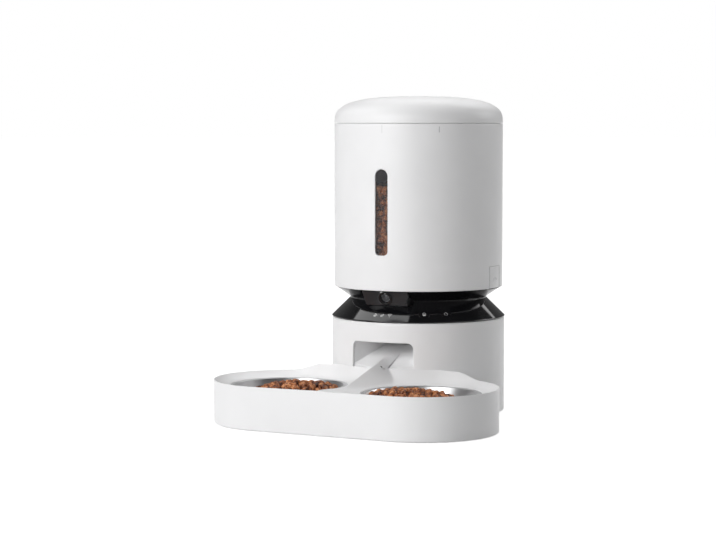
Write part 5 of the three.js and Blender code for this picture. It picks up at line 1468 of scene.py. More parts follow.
carve(feeding_tray, upright_rod("pilot", PILOT_RADIUS, PILOT_LOW, PILOT_HIGH, TAB_SCREW), tab_slot)

# %% [markdown]
# The ridge's right flank has a small dark hole over the divider's screw. It is bored square to the
# flank, and a near-black plug a little below its rim paints the shade deep inside the hole.

# %% The hole over the divider's screw
HOLE_RADIUS = 1.25 * MM
HOLE_DEPTH = 2.2 * MM
HOLE_SIDES = SMALL_SIDES // 2
# Sizes of the near-black plug that paints the shade inside the hole.
SHADE_PLUG_SET = 0.35 * MM
SHADE_PLUG_RADIUS = HOLE_RADIUS - GAP / 6


def hole_matrix():
    """z runs out of the ridge's right flank over the divider's screw."""
    x, y = (value / MM for value in TAB_SCREW)
    outward = Vector((FLANK_SLOPE, -CREST_SLOPE, 1)).normalized()
    upward = (Vector((0, 1, 0)) - outward * outward.y).normalized()
    turned = Matrix((upward.cross(outward), upward, outward)).transposed().to_4x4()
    return Matrix.Translation((x * MM, AXIS_Y + y * MM, float(tray_top(x, y)) * MM)) @ turned


carve(feeding_tray, lathe(
    "hole", rod_outline(HOLE_RADIUS, -HOLE_DEPTH, HOLE_DEPTH), HOLE_SIDES, Vector(), hole_matrix(),
))
hand_over(feeding_tray, "tray", "white_plastic", white_plastic, "tray")
# The near-black plug below the hole's rim is painted shade, not a real part.
hole_plug = settle(lathe("hole_plug", rounded([
    (0, -HOLE_DEPTH, 0), (SHADE_PLUG_RADIUS, -HOLE_DEPTH, 0), (SHADE_PLUG_RADIUS, -SHADE_PLUG_SET, FINE_EDGE),
    (0, -SHADE_PLUG_SET, 0),
]), HOLE_SIDES, Vector(), hole_matrix()))
hand_over(hole_plug, "tray", "grey_rubber", hole_shade_black)

# %% [markdown]
# ## Bowls
#
# Each bowl is pressed from one sheet: a flat floor, a small curve, a steep wall and a flat rim that
# lies on the tray's ledge. One outline is enough, and its corners take the radii of the press.

# %% Bowls
SHEET = 1 * MM
BOWL_FLOOR = 14 * MM
FLOOR_OUTER = 49.6 * MM
FLOOR_INNER = 48.8 * MM
PRESS_OUTER = 4 * MM
PRESS_INNER = 3.2 * MM
NECK_OUTER = 58.2 * MM
NECK_INNER = 57.5 * MM
NECK_CURVE = 1.2 * MM
BOWL_RIM = 62.3 * MM
BOWL_RIM_LOW = 38.7 * MM
BOWL_STEPS = 8
bowl_outline = rounded([
    (0, BOWL_FLOOR, 0), (FLOOR_OUTER, BOWL_FLOOR, PRESS_OUTER), (NECK_OUTER, BOWL_RIM_LOW, EASY_EDGE),
    (BOWL_RIM, BOWL_RIM_LOW, SMALL_EDGE), (BOWL_RIM, BOWL_RIM_LOW + SHEET, SMALL_EDGE),
    (NECK_INNER, BOWL_RIM_LOW + SHEET, NECK_CURVE), (FLOOR_INNER, BOWL_FLOOR + SHEET, PRESS_INNER),
    (0, BOWL_FLOOR + SHEET, 0),
], BOWL_STEPS)
for name, middle in zip(BOWL_NAMES, BOWL_MIDDLES):
    steel = ringed_steel("steel_" + name, middle)
    bowl = settle(lathe(name + "_pressed", bowl_outline, ROUND_SIDES, middle))
    hand_over(bowl, name, "bowl_steel", steel, name)

# %% [markdown]
# ## Camera
#
# The lens sits in a bored round bezel on the housing's leaning face. Behind the bulged glass are
# stepped grey rings, which stop stray light, and a small second lens at the bottom. All are lathe
# work, made flat and then turned on to the lens's axis. The pale dot near the lens is the dome of
# the light sensor, which looks the same way.

# %% Lens
LENS_LEAN = math.radians(23.9)
LENS_FACE_Y = 81.8 * MM
LENS_HEIGHT = 128.8 * MM
BARREL_DEPTH = 4.7 * MM
BARREL_OUTER = 6.4 * MM
BARREL_INNER = 4.7 * MM
BEZEL_RADIUS = 7.9 * MM
BEZEL_BORE = 5.7 * MM
BEZEL_SEAT = 0.3 * MM
BEZEL_PROUD = 1.0 * MM
BEZEL_EDGE = 0.35 * MM
BORE_EDGE = 0.25 * MM
BORE_STEP = 0.9 * MM
GLASS_RADIUS = 5.4 * MM
GLASS_SEAT = -0.6 * MM
GLASS_BULGE = 0.95 * MM
GLASS_EDGE = 0.1 * MM
GLASS_STEPS = 9
STOP_OUTER = BARREL_INNER - HAIR_EDGE
STOP_FRONT = -1 * MM
STOP_BACK = -4 * MM
STOP_BORE = 2 * MM
STOP_WIDTH = 0.55 * MM
STOP_FIRST = -3.7 * MM
STOP_RISE = 0.75 * MM
STOP_COUNT = 4
INNER_RADIUS = 2.3 * MM
INNER_BACK = -4.2 * MM
INNER_SEAT = -3.6 * MM
INNER_BULGE = 0.9 * MM
INNER_STEPS = 7
SENSOR_RADIUS = 1.5 * MM
SENSOR_BACK = 1.5 * MM
sensor_low, sensor_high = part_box("light_sensor")


def lens_matrix():
    """z runs out of the lens, y up its face."""
    outward = Vector((0, -math.cos(LENS_LEAN), -math.sin(LENS_LEAN)))
    across = Vector((1, 0, 0))
    turned = Matrix((across, outward.cross(across), outward)).transposed().to_4x4()
    return Matrix.Translation((0, AXIS_Y - LENS_FACE_Y, LENS_HEIGHT)) @ turned


def sensor_matrix():
    """As the lens's, over the middle of the light sensor's front."""
    turned = lens_matrix().to_3x3()
    front = (sensor_low + sensor_high) / 2 + turned @ Vector((0, 0, 1)) * SENSOR_BACK
    return Matrix.Translation(front) @ turned.to_4x4()


def lens_part(name, outline, slot, material, *stood_for):
    piece = settle(lathe(name, outline, SMALL_SIDES, Vector(), lens_matrix()))
    return hand_over(piece, "base", slot, material, *stood_for)


def lens_outline(radius, back, seat, bulge, steps):
    """A flat back, and a front that rises from its seat by a bulge."""
    turns = np.linspace(0, math.pi / 2, steps)
    return [(0, back), (radius, back)] + [
        (radius * math.cos(turn), seat + bulge * math.sin(turn)) for turn in turns
    ]


lens_part("lens_ring", rounded([
    (BARREL_INNER, -BARREL_DEPTH, 0), (BARREL_OUTER, -BARREL_DEPTH, 0), (BARREL_OUTER, BEZEL_SEAT, 0),
    (BEZEL_RADIUS, BEZEL_SEAT, 0), (BEZEL_RADIUS, BEZEL_PROUD, BEZEL_EDGE),
    (BEZEL_BORE, BEZEL_PROUD, BORE_EDGE), (BEZEL_BORE, -BORE_STEP, 0), (BARREL_INNER, -BORE_STEP, HAIR_EDGE),
]), "black_gloss", barrel_black, "lens_bezel")

front_outline = lens_outline(GLASS_RADIUS, GLASS_SEAT, GLASS_EDGE, GLASS_BULGE - GLASS_EDGE, GLASS_STEPS)
lens_part("front_lens", front_outline, "lens_glass", lens_glass, "lens_glass")

stop_outline = [(STOP_OUTER, STOP_FRONT), (STOP_OUTER, STOP_BACK), (STOP_BORE, STOP_BACK)]
for step in range(STOP_COUNT):
    inner = STOP_BORE + step * STOP_WIDTH
    level = STOP_FIRST + step * STOP_RISE
    stop_outline += [(inner, level), (inner + STOP_WIDTH, level)]
stop_outline.reverse()
lens_part("light_stops", stop_outline, "black_gloss", stop_grey)

sensor_dome = settle(lathe("sensor_dome", rounded([
    (0, -2 * SENSOR_BACK, 0), (SENSOR_RADIUS / 2, -2 * SENSOR_BACK, 0), (SENSOR_RADIUS / 2, GAP / 3, 0),
    (SENSOR_RADIUS, GAP / 3, 0), (SENSOR_RADIUS, 2 * GAP, SMALL_EDGE), (0, 2 * GAP, 0),
]), SMALL_SIDES // 2, Vector(), sensor_matrix()))
hand_over(sensor_dome, "base", "light_diffuser", light_diffuser, "light_sensor")

inner_outline = lens_outline(INNER_RADIUS, INNER_BACK, INNER_SEAT, INNER_BULGE, INNER_STEPS)
lens_part("inner_lens", inner_outline, "lens_glass", inner_glass)

# %% [markdown]
# ## Printed icons
#
# The icons are silk-screened on the cone. Each one is drawn in plain millimetres as strokes on a
# small flat sheet, whose points are then laid on the cone, a hair above it: a thin print casts no
# shadow of its own. The left three tell of the food, the battery and the network, and the other two
# stand on the buttons.

# %% Strokes and icons
STROKE = 0.5
RIM_STROKE = 0.4
RING_STROKE = 0.3
STATUS_RADIUS = 89.5 * MM
FOOD_TURN = -5.4
SIGNAL_TURN = 5.6
BATTERY_CASE = (1.1, -2.0, 1.6)
BATTERY_CAP = (0.5, 1.6, 2.3)
BATTERY_CHARGE = (0.6, -1.5, 0.4)
BATTERY_LEAN = -30
WAVE_RADII = (1.4, 2.6, 3.8)
WAVE_SPAN = (45, 135)
WAVE_FOOT = (0, -1.7)
WAVE_DOT = 0.5
FOOD_DISH = (1.7, 1.1, -0.2, -1.9)
FOOD_RIM_HALF = 2.4
FOOD_HEAP = 1.5
FOOD_HEAP_MIDDLE = (0, 0.45)
FEED_DISH = (1.9, 1.1, -0.2, -2.1)
FEED_HEAP = 1.45
FEED_HEAP_MIDDLE = (0, 0.7)
RING_RADIUS = 1.8
RING_DOT = 0.2
RING_DOT_PLACE = 1.9


def stroke(line, width=STROKE):
    """The outline of a line drawn with a pen."""
    line = np.array(line, dtype=float)
    ahead = np.gradient(line, axis=0)
    ahead /= np.linalg.norm(ahead, axis=1)[:, None]
    beside = np.stack((-ahead[:, 1], ahead[:, 0]), 1) * width / 2
    return np.vstack((line - beside, (line + beside)[::-1]))


def print_on_cone(name, turn, radius, outlines, lean=0.0):
    sheet = cone_place(radius, turn) @ Matrix.Rotation(math.radians(lean), 4, "Z")
    piece = raised(name, outlines, lambda u, v, proud: sheet @ Vector((u * MM, v * MM, proud)))
    return hand_over(piece, "base", "light_diffuser", printed_white)


def oblong(half, low, high):
    return [(half, low), (half, high), (-half, high), (-half, low)]


def dish(rim_half, foot_half, top, foot):
    return [(-rim_half, top), (-foot_half, foot), (foot_half, foot), (rim_half, top)]


def battery_icon():
    case = oblong(*BATTERY_CASE)
    sides = [stroke(np.linspace(case[side - 1], case[side], 4)) for side in range(4)]
    return [*sides, oblong(*BATTERY_CAP), oblong(*BATTERY_CHARGE)]


def network_icon():
    waves = [stroke(arc(radius, *WAVE_SPAN, WAVE_FOOT)) for radius in WAVE_RADII]
    return [*waves, arc(WAVE_DOT, 0, 340, WAVE_FOOT)]


def food_icon():
    rim = stroke([(-FOOD_RIM_HALF, 0), (0, 0), (FOOD_RIM_HALF, 0)], RIM_STROKE)
    return [dish(*FOOD_DISH), rim, arc(FOOD_HEAP, 8, 172, FOOD_HEAP_MIDDLE)]


def feed_icon():
    return [stroke(arc(FEED_HEAP, -20, 200, FEED_HEAP_MIDDLE), RIM_STROKE), dish(*FEED_DISH)]


def ring_icon():
    halves = [stroke(arc(RING_RADIUS, start, start + 126, steps=24), RING_STROKE) for start in (-63, 117)]
    return halves + [arc(RING_DOT, 0, 330, (0, side * RING_DOT_PLACE)) for side in (-1, 1)]


for name, turn, radius, outlines, lean in (
    ("food_print", FOOD_TURN, STATUS_RADIUS, food_icon(), 0),
    ("battery_print", 0, STATUS_RADIUS, battery_icon(), BATTERY_LEAN),
    ("network_print", SIGNAL_TURN, STATUS_RADIUS, network_icon(), 0),
    ("feed_print", FEED_TURN, BUTTON_CIRCLE, feed_icon(), 0),
    ("ring_print", NETWORK_TURN, BUTTON_CIRCLE, ring_icon(), 0),
):
    print_on_cone(name, turn, radius, outlines, lean)

# %% [markdown]
# Each release plate has a small raised sign: an arch over a line. It is drawn like the icons and
# laid on the plate's round face.

# %% Relief on the release plates
ARCH_RADIUS = 3.0
ARCH_STROKE = 0.7
ARCH_FOOT = -1.2
ARCH_FOOT_HALF = 5.1
ARCH_LEVEL = 146.5 * MM
ARCH_PROUD = 0.2 * MM

arch_lines = [
    stroke(arc(ARCH_RADIUS, 0, 180), ARCH_STROKE),
    stroke([(-ARCH_FOOT_HALF, ARCH_FOOT), (0, ARCH_FOOT), (ARCH_FOOT_HALF, ARCH_FOOT)], ARCH_STROKE),
]
for side, turn in (("left", -RELEASE_TURN), ("right", RELEASE_TURN)):
    arch = raised("arch_" + side, arch_lines, on_hopper(turn, MM, ARCH_LEVEL), ARCH_PROUD, ARCH_PROUD)
    hand_over(arch, "release_" + side, "white_plastic", white_plastic)

# %% [markdown]
# ## Things that come in sets
#
# Rubber feet and screws are the same piece in many places. One template is turned on the lathe, and
# Geometry Nodes set a copy on every point of a small point cloud, so a foot is changed once for all.

# %% Copies on points
FOOT_RING = 80 * MM
FOOT_TURNS = (32, 148, 212, -32)
FOOT_EASE = 1.2 * MM
FOOT_CHAMFER = 0.8 * MM
BASE_FOOT_RADIUS = 7 * MM
BASE_FOOT_HEIGHT = 2.2 * MM
TRAY_FOOT_RADIUS = 6 * MM
TRAY_FOOT_HEIGHT = 1.55 * MM


def copies_tree(template, material):
    tree, enter, leave = start_tree("copies_of_" + template.name, [("Template", "NodeSocketObject")])
    info = add_node(tree, "GeometryNodeObjectInfo", {"Object": enter.outputs["Template"]})
    copies = add_node(tree, "GeometryNodeInstanceOnPoints", {
        "Points": enter.outputs["Geometry"], "Instance": info.outputs["Geometry"],
    })
    end_tree(tree, leave, copies.outputs[0], material)
    return tree


def set_of(name, template, places, material):
    points = add_piece(name + "_points", places, [])
    piece = grown_piece(name, copies_tree(template, material), {"Template": template}, points)
    bpy.data.objects.remove(template)
    return settle(piece)


def foot_template(radius, height):
    return lathe("foot", rounded([
        (0, 0, 0), (radius - FOOT_EASE, 0, SMALL_EDGE), (radius, FOOT_CHAMFER, SMALL_EDGE),
        (radius, height, 0), (0, height, 0),
    ]), SMALL_SIDES, Vector())


def four_nodes(name):
    return [f"{name}_{number}" for number in range(1, 5)]


base_foot_places = [
    (FOOT_RING * math.cos(math.radians(turn)), AXIS_Y + FOOT_RING * math.sin(math.radians(turn)), 0)
    for turn in FOOT_TURNS
]
base_foot = foot_template(BASE_FOOT_RADIUS, BASE_FOOT_HEIGHT)
base_feet = set_of("base_feet", base_foot, base_foot_places, grey_rubber)
hand_over(base_feet, "base", "grey_rubber", grey_rubber, *four_nodes("base_foot"))
tray_foot_places = [(x, AXIS_Y + y, 0) for x, y in TRAY_FOOT_PLACES]
tray_foot = foot_template(TRAY_FOOT_RADIUS, TRAY_FOOT_HEIGHT)
tray_feet = set_of("tray_feet", tray_foot, tray_foot_places, grey_rubber)
hand_over(tray_feet, "tray", "grey_rubber", grey_rubber, *four_nodes("tray_foot"))

# %% [markdown]
# The screws of the base's bottom plate stand head down, where their nodes in the frame stand. Two
# narrow boxes cut a cross into the head.

# %% Screws
SCREW_SIDE = 2.755 * MM
SCREW_FLAT = 2.03 * MM
SCREW_HEAD_HEIGHT = 1.8 * MM
SCREW_EASE = 0.6 * MM
SCREW_SHANK = 1.4 * MM
SCREW_POINT = 1 * MM
SCREW_TIP = 0.4 * MM
CROSS_LONG = 3.2 * MM
CROSS_WIDE = 0.7 * MM
CROSS_DEPTH = 1.08 * MM
CROSS_OVERRUN = 1 * MM


def screw_template(low, high):
    """A pan-head screw, head down, with a cross cut into its head."""
    under_head = low + SCREW_HEAD_HEIGHT
    screw = lathe("screw", rounded([
        (0, low, 0), (SCREW_FLAT, low, FINE_EDGE), (SCREW_SIDE, low + SCREW_EASE, SMALL_EDGE),
        (SCREW_SIDE, under_head, 0), (SCREW_SHANK, under_head, 0),
        (SCREW_SHANK, high - SCREW_POINT, CRISP_EDGE), (SCREW_TIP, high, 0), (0, high, 0),
    ]), SMALL_SIDES // 2, Vector())
    arms = [
        box_piece(
            "arm", (-across / 2, -along / 2, low - CROSS_OVERRUN), (across / 2, along / 2, low + CROSS_DEPTH),
        )
        for across, along in ((CROSS_LONG, CROSS_WIDE), (CROSS_WIDE, CROSS_LONG))
    ]
    return carve(screw, *arms)


screw_places = []
for node in four_nodes("plate_screw"):
    low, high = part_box(node)
    screw_places.append(((low.x + high.x) / 2, (low.y + high.y) / 2, 0))
plate_screw = screw_template(*(corner.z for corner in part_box("plate_screw_1")))
plate_screws = set_of("plate_screws", plate_screw, screw_places, spring_steel)
hand_over(plate_screws, "base", "spring_steel", spring_steel, *four_nodes("plate_screw"))

# %% [markdown]
# ## Dry food
#
# Kibble is a heap of nearly equal pieces that lie anyhow. Geometry Nodes scatter points over the
# heap's surface, keep them a piece apart, and set one of three low shapes on each with a random
# turn and size. Below them a plain core stands for the pieces that nobody sees.

# %% Kibble templates
KIBBLE_WIDTH = 9.2 * MM
KIBBLE_SIDES = 10
KIBBLE_RINGS = 5
KIBBLE_TWIST = 0.2
KIBBLE_DENTS = 3
DENT_SHARE = 0.07
KIBBLE_SHAPES = ((1, 0.92, 0.62, 3.0), (0.9, 0.86, 0.78, 2.3), (1.06, 0.84, 0.55, 2.6))


def kibble_shape(number, wide, deep, thick, power):
    """A pillow: a ball squared off by a power, with a few dozen faces."""
    points, rings = [], []
    for ring in range(KIBBLE_RINGS + 1):
        rise = math.pi * (ring / KIBBLE_RINGS - 0.5)
        sides = 1 if ring in (0, KIBBLE_RINGS) else KIBBLE_SIDES
        start = len(points)
        for side in range(sides):
            turn = 2 * math.pi * side / KIBBLE_SIDES + ring * KIBBLE_TWIST
            level = math.cos(rise)
            unit = Vector((level * math.cos(turn), level * math.sin(turn), math.sin(rise)))
            size = sum(abs(value) ** power for value in unit) ** (-1 / power)
            dent = 1 + DENT_SHARE * math.sin(KIBBLE_DENTS * turn + number) * level
            shaped = unit * size * dent * KIBBLE_WIDTH / 2
            points.append(Vector((shaped.x * wide, shaped.y * deep, shaped.z * thick)))
        rings.append([start + side % sides for side in range(KIBBLE_SIDES)])
    faces = []
    for low, high in zip(rings, rings[1:]):
        for side in range(KIBBLE_SIDES):
            after = (side + 1) % KIBBLE_SIDES
            faces.append(tuple(dict.fromkeys((low[side], low[after], high[after], high[side]))))
    piece = add_piece(f"kibble_{number}", points, faces)
    piece.data.shade_smooth()
    return piece


kibble_set = bpy.data.collections.new("kibble_shapes")
for number, shape in enumerate(KIBBLE_SHAPES):
    kibble_set.objects.link(kibble_shape(number, *shape))

# %% [markdown]
# The scatter takes any surface and sets the shapes on it. A heap is a round surface whose edge may
# climb on one side, because the food in a bowl lies higher where it falls in. A bowl's wall leans
# out, so a higher edge also reaches farther: that is the flare.

# %% Scatter
KIBBLE_SPACING = 6.6 * MM
KIBBLE_DENSITY = 90000.0
KIBBLE_SIZES = (0.8, 1.12)
BOWL_FLARE = 0.33
HEAP_RINGS = 10
HEAP_SIDES = 40


def random_value(tree, seed, kind):
    return add_node(tree, "FunctionNodeRandomValue", {"Seed": seed}, data_type=kind)


def scatter_tree():
    tree, enter, leave = start_tree("scatter", [
        ("Spacing", "NodeSocketFloat"), ("Density", "NodeSocketFloat"), ("Seed", "NodeSocketInt"),
        ("Smallest", "NodeSocketFloat"), ("Largest", "NodeSocketFloat"),
    ])
    spots = add_node(tree, "GeometryNodeDistributePointsOnFaces", {
        "Mesh": enter.outputs["Geometry"], "Distance Min": enter.outputs["Spacing"],
        "Density Max": enter.outputs["Density"], "Seed": enter.outputs["Seed"],
    }, distribute_method="POISSON")
    shapes = add_node(tree, "GeometryNodeCollectionInfo", {
        "Collection": kibble_set, "Separate Children": True, "Reset Children": True,
    })
    any_turn = random_value(tree, enter.outputs["Seed"], "FLOAT_VECTOR")
    any_turn.inputs[1].default_value = (2 * math.pi,) * 3
    any_size = random_value(tree, enter.outputs["Seed"], "FLOAT")
    tree.links.new(enter.outputs["Smallest"], any_size.inputs[2])
    tree.links.new(enter.outputs["Largest"], any_size.inputs[3])
    copies = add_node(tree, "GeometryNodeInstanceOnPoints", {
        "Points": spots.outputs["Points"], "Instance": shapes.outputs[0], "Pick Instance": True,
        "Rotation": any_turn.outputs[0], "Scale": any_size.outputs[1],
    })
    end_tree(tree, leave, copies.outputs[0], dry_food)
    return tree


kibble_scatter = scatter_tree()


def kibble_on(name, surface, seed, spacing=KIBBLE_SPACING, sizes=KIBBLE_SIZES):
    smallest, largest = sizes
    return grown_piece(name, kibble_scatter, {
        "Spacing": spacing, "Density": KIBBLE_DENSITY, "Seed": seed,
        "Smallest": smallest, "Largest": largest,
    }, surface)


def heap_surface(middle, reach, edge, rise, tilt=0.0, lean=0.0):
    """An open round surface, highest in its middle, whose edge climbs by a tilt on one side."""
    points = [Vector((middle.x, middle.y, edge + rise))]
    faces = []
    for ring in range(1, HEAP_RINGS + 1):
        share = ring / HEAP_RINGS
        for side in range(HEAP_SIDES):
            turn = 2 * math.pi * side / HEAP_SIDES
            climb = tilt * (0.5 + 0.5 * math.cos(turn - math.radians(lean)))
            radius = (reach + climb * BOWL_FLARE) * share
            points.append(Vector((
                middle.x + radius * math.cos(turn), middle.y + radius * math.sin(turn),
                edge + rise * (1 - share * share) + climb * share,
            )))
    for side in range(HEAP_SIDES):
        faces.append((0, 1 + side, 1 + (side + 1) % HEAP_SIDES))
    for ring in range(1, HEAP_RINGS):
        inner = 1 + (ring - 1) * HEAP_SIDES
        outer = inner + HEAP_SIDES
        for side in range(HEAP_SIDES):
            after = (side + 1) % HEAP_SIDES
            faces.append((inner + side, outer + side, outer + after, inner + after))
    return add_piece("heap", points, faces)


def close_below(piece, middle, low, share):
    """Draws an open surface's rim down and in to a level, and shuts it there."""
    with edited(piece) as mesh:
        for corner in drawn_rim(mesh):
            across, along = (middle[axis] + (corner.co[axis] - middle[axis]) * share for axis in (0, 1))
            corner.co = Vector((across, along, low))
        bmesh.ops.holes_fill(mesh, edges=[edge for edge in mesh.edges if edge.is_boundary])
        bmesh.ops.recalc_face_normals(mesh, faces=mesh.faces)


# %% [markdown]
# Each bowl gets two layers of kibble and a core that fills what lies below them. The right heap
# leans more, to the side where the food falls in.

# %% Food in the bowls
HEAP_EDGES = (27 * MM, 23.5 * MM)
HEAP_TILTS = (8 * MM, 13 * MM)
HEAP_LEANS = (22, 175)
HEAP_RISE = 12 * MM
HEAP_REACH = 48 * MM
HEAP_LIFT = 1.4 * MM
HEAP_LOW = BOWL_FLOOR + HEAP_LIFT
LAYERS = (0, 3.6 * MM)
CORE_DROP = 7 * MM
CORE_FOOT_SHARE = 0.88
FIRST_SEED = 11
LAYER_SEEDS = 20


def bowl_heap(bowl, drop):
    """The surface of the heap in a bowl, or of a layer that lies deeper and so a little narrower."""
    reach = HEAP_REACH - drop * BOWL_FLARE
    edge = HEAP_EDGES[bowl] - drop
    return heap_surface(BOWL_MIDDLES[bowl], reach, edge, HEAP_RISE, HEAP_TILTS[bowl], HEAP_LEANS[bowl])


for bowl, name in enumerate(BOWL_NAMES):
    heaps = []
    for layer, drop in enumerate(LAYERS):
        seed = FIRST_SEED + bowl + LAYER_SEEDS * layer
        heaps.append(kibble_on(f"{name}_layer", bowl_heap(bowl, drop), seed))
    core = bowl_heap(bowl, CORE_DROP)
    close_below(core, BOWL_MIDDLES[bowl], HEAP_LOW, CORE_FOOT_SHARE)
    food = joined(name + "_food", *heaps, core)
    hand_over(food, name, "vane_rubber", dry_food)

# %% [markdown]
# In the hopper only the pieces behind the window and on top of the store are ever seen. They lie on
# a curved patch and on a nearly flat heap, round a plain core.

# %% Food in the hopper
STORE_LOW = 174 * MM
STORE_TOP = 245 * MM
STORE_RADIUS = 83.5 * MM
STORE_RISE = 0.5 * MM
STORE_INSET = 2 * MM
STORE_FOOT_CURVE = 2 * MM
STORE_TOP_CURVE = 4 * MM
STORE_SEED = 6
STORE_SPACING = 1.15 * KIBBLE_SPACING
STORE_SIZES = (0.9, 1.2)
PATCH_TURNS = (-26, 16)
PATCH_TURN_STEP = 3
PATCH_STEP = 6 * MM
PATCH_SEED = 5


def wall_patch():
    turns = spread(PATCH_TURNS, PATCH_TURN_STEP)
    heights = spread((STORE_LOW, STORE_TOP), PATCH_STEP)
    points = [on_axis(STORE_RADIUS, turn, height) for height in heights for turn in turns]
    wide = len(turns)
    faces = []
    for row in range(len(heights) - 1):
        for column in range(wide - 1):
            here = row * wide + column
            faces.append((here, here + 1, here + wide + 1, here + wide))
    return add_piece("patch", points, faces)


core_radius = STORE_RADIUS - STORE_INSET
core_top = STORE_TOP - STORE_INSET
store_core = lathe("core", rounded([
    (0, STORE_LOW, 0), (core_radius, STORE_LOW, STORE_FOOT_CURVE), (core_radius, core_top, STORE_TOP_CURVE),
    (0, core_top, 0),
]), SMALL_SIDES)
window_food = kibble_on("behind_window", wall_patch(), PATCH_SEED)
store_heap = heap_surface(Vector((0, AXIS_Y, 0)), STORE_RADIUS, STORE_TOP, STORE_RISE)
top_food = kibble_on("store_top", store_heap, STORE_SEED, STORE_SPACING, STORE_SIZES)
hopper_food = joined("hopper_food", window_food, top_food, store_core)
hand_over(hopper_food, "hopper", "vane_rubber", dry_food)
for shape in list(kibble_set.objects):
    bpy.data.objects.remove(shape)

# %% [markdown]
# ## The rest of the frame
#
# What is left are the parts inside, such as the boards, the drive, the rotor, the chute and the
# seals, and the plain outer ones, such as the buttons. Their shapes are right as they are. Each
# gets a copy whose doubled points are merged, so that its round faces shade smoothly, a small bevel
# where it shows, and its own finish.

# %% Fine copies of the frame's nodes
FLAT_ANGLE = 0.2
FILLET_ANGLE = 40
COPY_ANGLE = 30
FILLET_STEPS = 2
HOUSING_EDGE = 0.35 * MM
FILLETS = {
    "camera_housing": HOUSING_EDGE, "feed_button": CRISP_EDGE, "network_button": CRISP_EDGE,
    "release_button_left": EASY_EDGE, "release_button_right": EASY_EDGE, "outlet_chute": EASY_EDGE,
    "battery_door": SMALL_EDGE, "desiccant_cap": EASY_EDGE, "rotor_vanes": SMALL_EDGE,
    "rotor_hub": SMALL_EDGE, "gearmotor": FINE_EDGE, "drive_cover": FINE_EDGE,
}
finish_of_slot = {
    "white_plastic": white_plastic, "inner_plastic": inner_plastic, "black_gloss": black_gloss,
    "smoked_window": smoked_window, "spring_steel": spring_steel, "bushing_brass": bushing_brass,
    "grey_rubber": grey_rubber, "seal_rubber": seal_rubber, "gear_nylon": gear_nylon,
    "vane_rubber": vane_rubber, "circuit_board": circuit_board, "motor_metal": motor_metal,
    "light_diffuser": light_diffuser, "lens_glass": lens_glass,
}
own_finish = {"camera_housing": satin_black, "light_guide": smoked_window}
bodies = frame["record"]["behaviour"]["bodies"]
node_body = {node: body for body, members in bodies.items() for node in members}


def fine_copy(node, fillet=0.0):
    """A node's shape with its doubled points and flat edges merged, and its sharp edges eased."""
    piece = bpy.data.objects.new(node + "_fine", nodes[node].data.copy())
    scene.collection.objects.link(piece)
    fix_faces(piece, POINT_WELD)
    limit = math.radians(FLAT_ANGLE)
    with edited(piece) as mesh:
        bmesh.ops.dissolve_limit(mesh, angle_limit=limit, verts=mesh.verts, edges=mesh.edges)
    if fillet > 0:
        soften(piece, fillet, FILLET_STEPS, FILLET_ANGLE)
    return settle(piece, COPY_ANGLE)


# %% [markdown]
# ## Divider
#
# The divider is a wedge on the chute's floor, which rises to the back and nearly reaches the crest
# there. It is a loft of many thin sections, so its flanks stay smooth and its crest sharp, and a
# groove along each foot gives the dark line that shows where it only rests on the floor.

# %% Divider
CHUTE_SLOPE = math.tan(math.radians(21.4))
CHUTE_FRONT = 93 * MM
CHUTE_LEVEL = 54.7 * MM
WEDGE_HALF = 9.5 * MM
WEDGE_BACK = 61 * MM
WEDGE_BACK_HEIGHT = 68.6 * MM
WEDGE_EDGE = 0.5 * MM
UNDERCUT_DEEP = 2.6 * MM
UNDERCUT_HIGH = 2.4 * MM
TAB_HALF = 7.5 * MM
TAB_WALL = 2.4 * MM
TAB_HOLE = 1.6 * MM
SECTION_STEP = 1.5 * MM
CREST_ANGLE = 12
BACK_SLOPE = (WEDGE_BACK_HEIGHT / MM - CREST_HEIGHT) / (CREST_REACH - WEDGE_BACK / MM)
tab_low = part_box("food_divider")[0]


def chute_floor(reach):
    return CHUTE_LEVEL + (CHUTE_FRONT - reach) * CHUTE_SLOPE


def loft(name, sections):
    """A closed solid through sections with as many points each."""
    count = len(sections[0])
    points = [point for section in sections for point in section]
    faces = [tuple(range(count)), tuple(range(len(points) - count, len(points)))]
    faces += bands(len(sections), count)
    return fix_faces(add_piece(name, points, faces))


def wedge_section(reach):
    run = CREST_SLOPE if reach > CREST_REACH * MM else BACK_SLOPE
    crest = CREST_HEIGHT * MM + (CREST_REACH * MM - reach) * run
    low = chute_floor(reach) + GAP
    edge = low + WEDGE_EDGE
    corners = (
        (-WEDGE_HALF, low), (WEDGE_HALF, low), (WEDGE_HALF, edge), (0, max(crest, edge + GAP)),
        (-WEDGE_HALF, edge),
    )
    return [(across, AXIS_Y - reach, height) for across, height in corners]


def groove_section(side, reach):
    outer, inner = side * (WEDGE_HALF + OVERRUN), side * (WEDGE_HALF - UNDERCUT_DEEP)
    low = chute_floor(reach) - GAP
    return [
        (outer, AXIS_Y - reach, low), (inner, AXIS_Y - reach, low),
        (inner, AXIS_Y - reach, low + UNDERCUT_HIGH / 2), (outer, AXIS_Y - reach, low + UNDERCUT_HIGH),
    ]


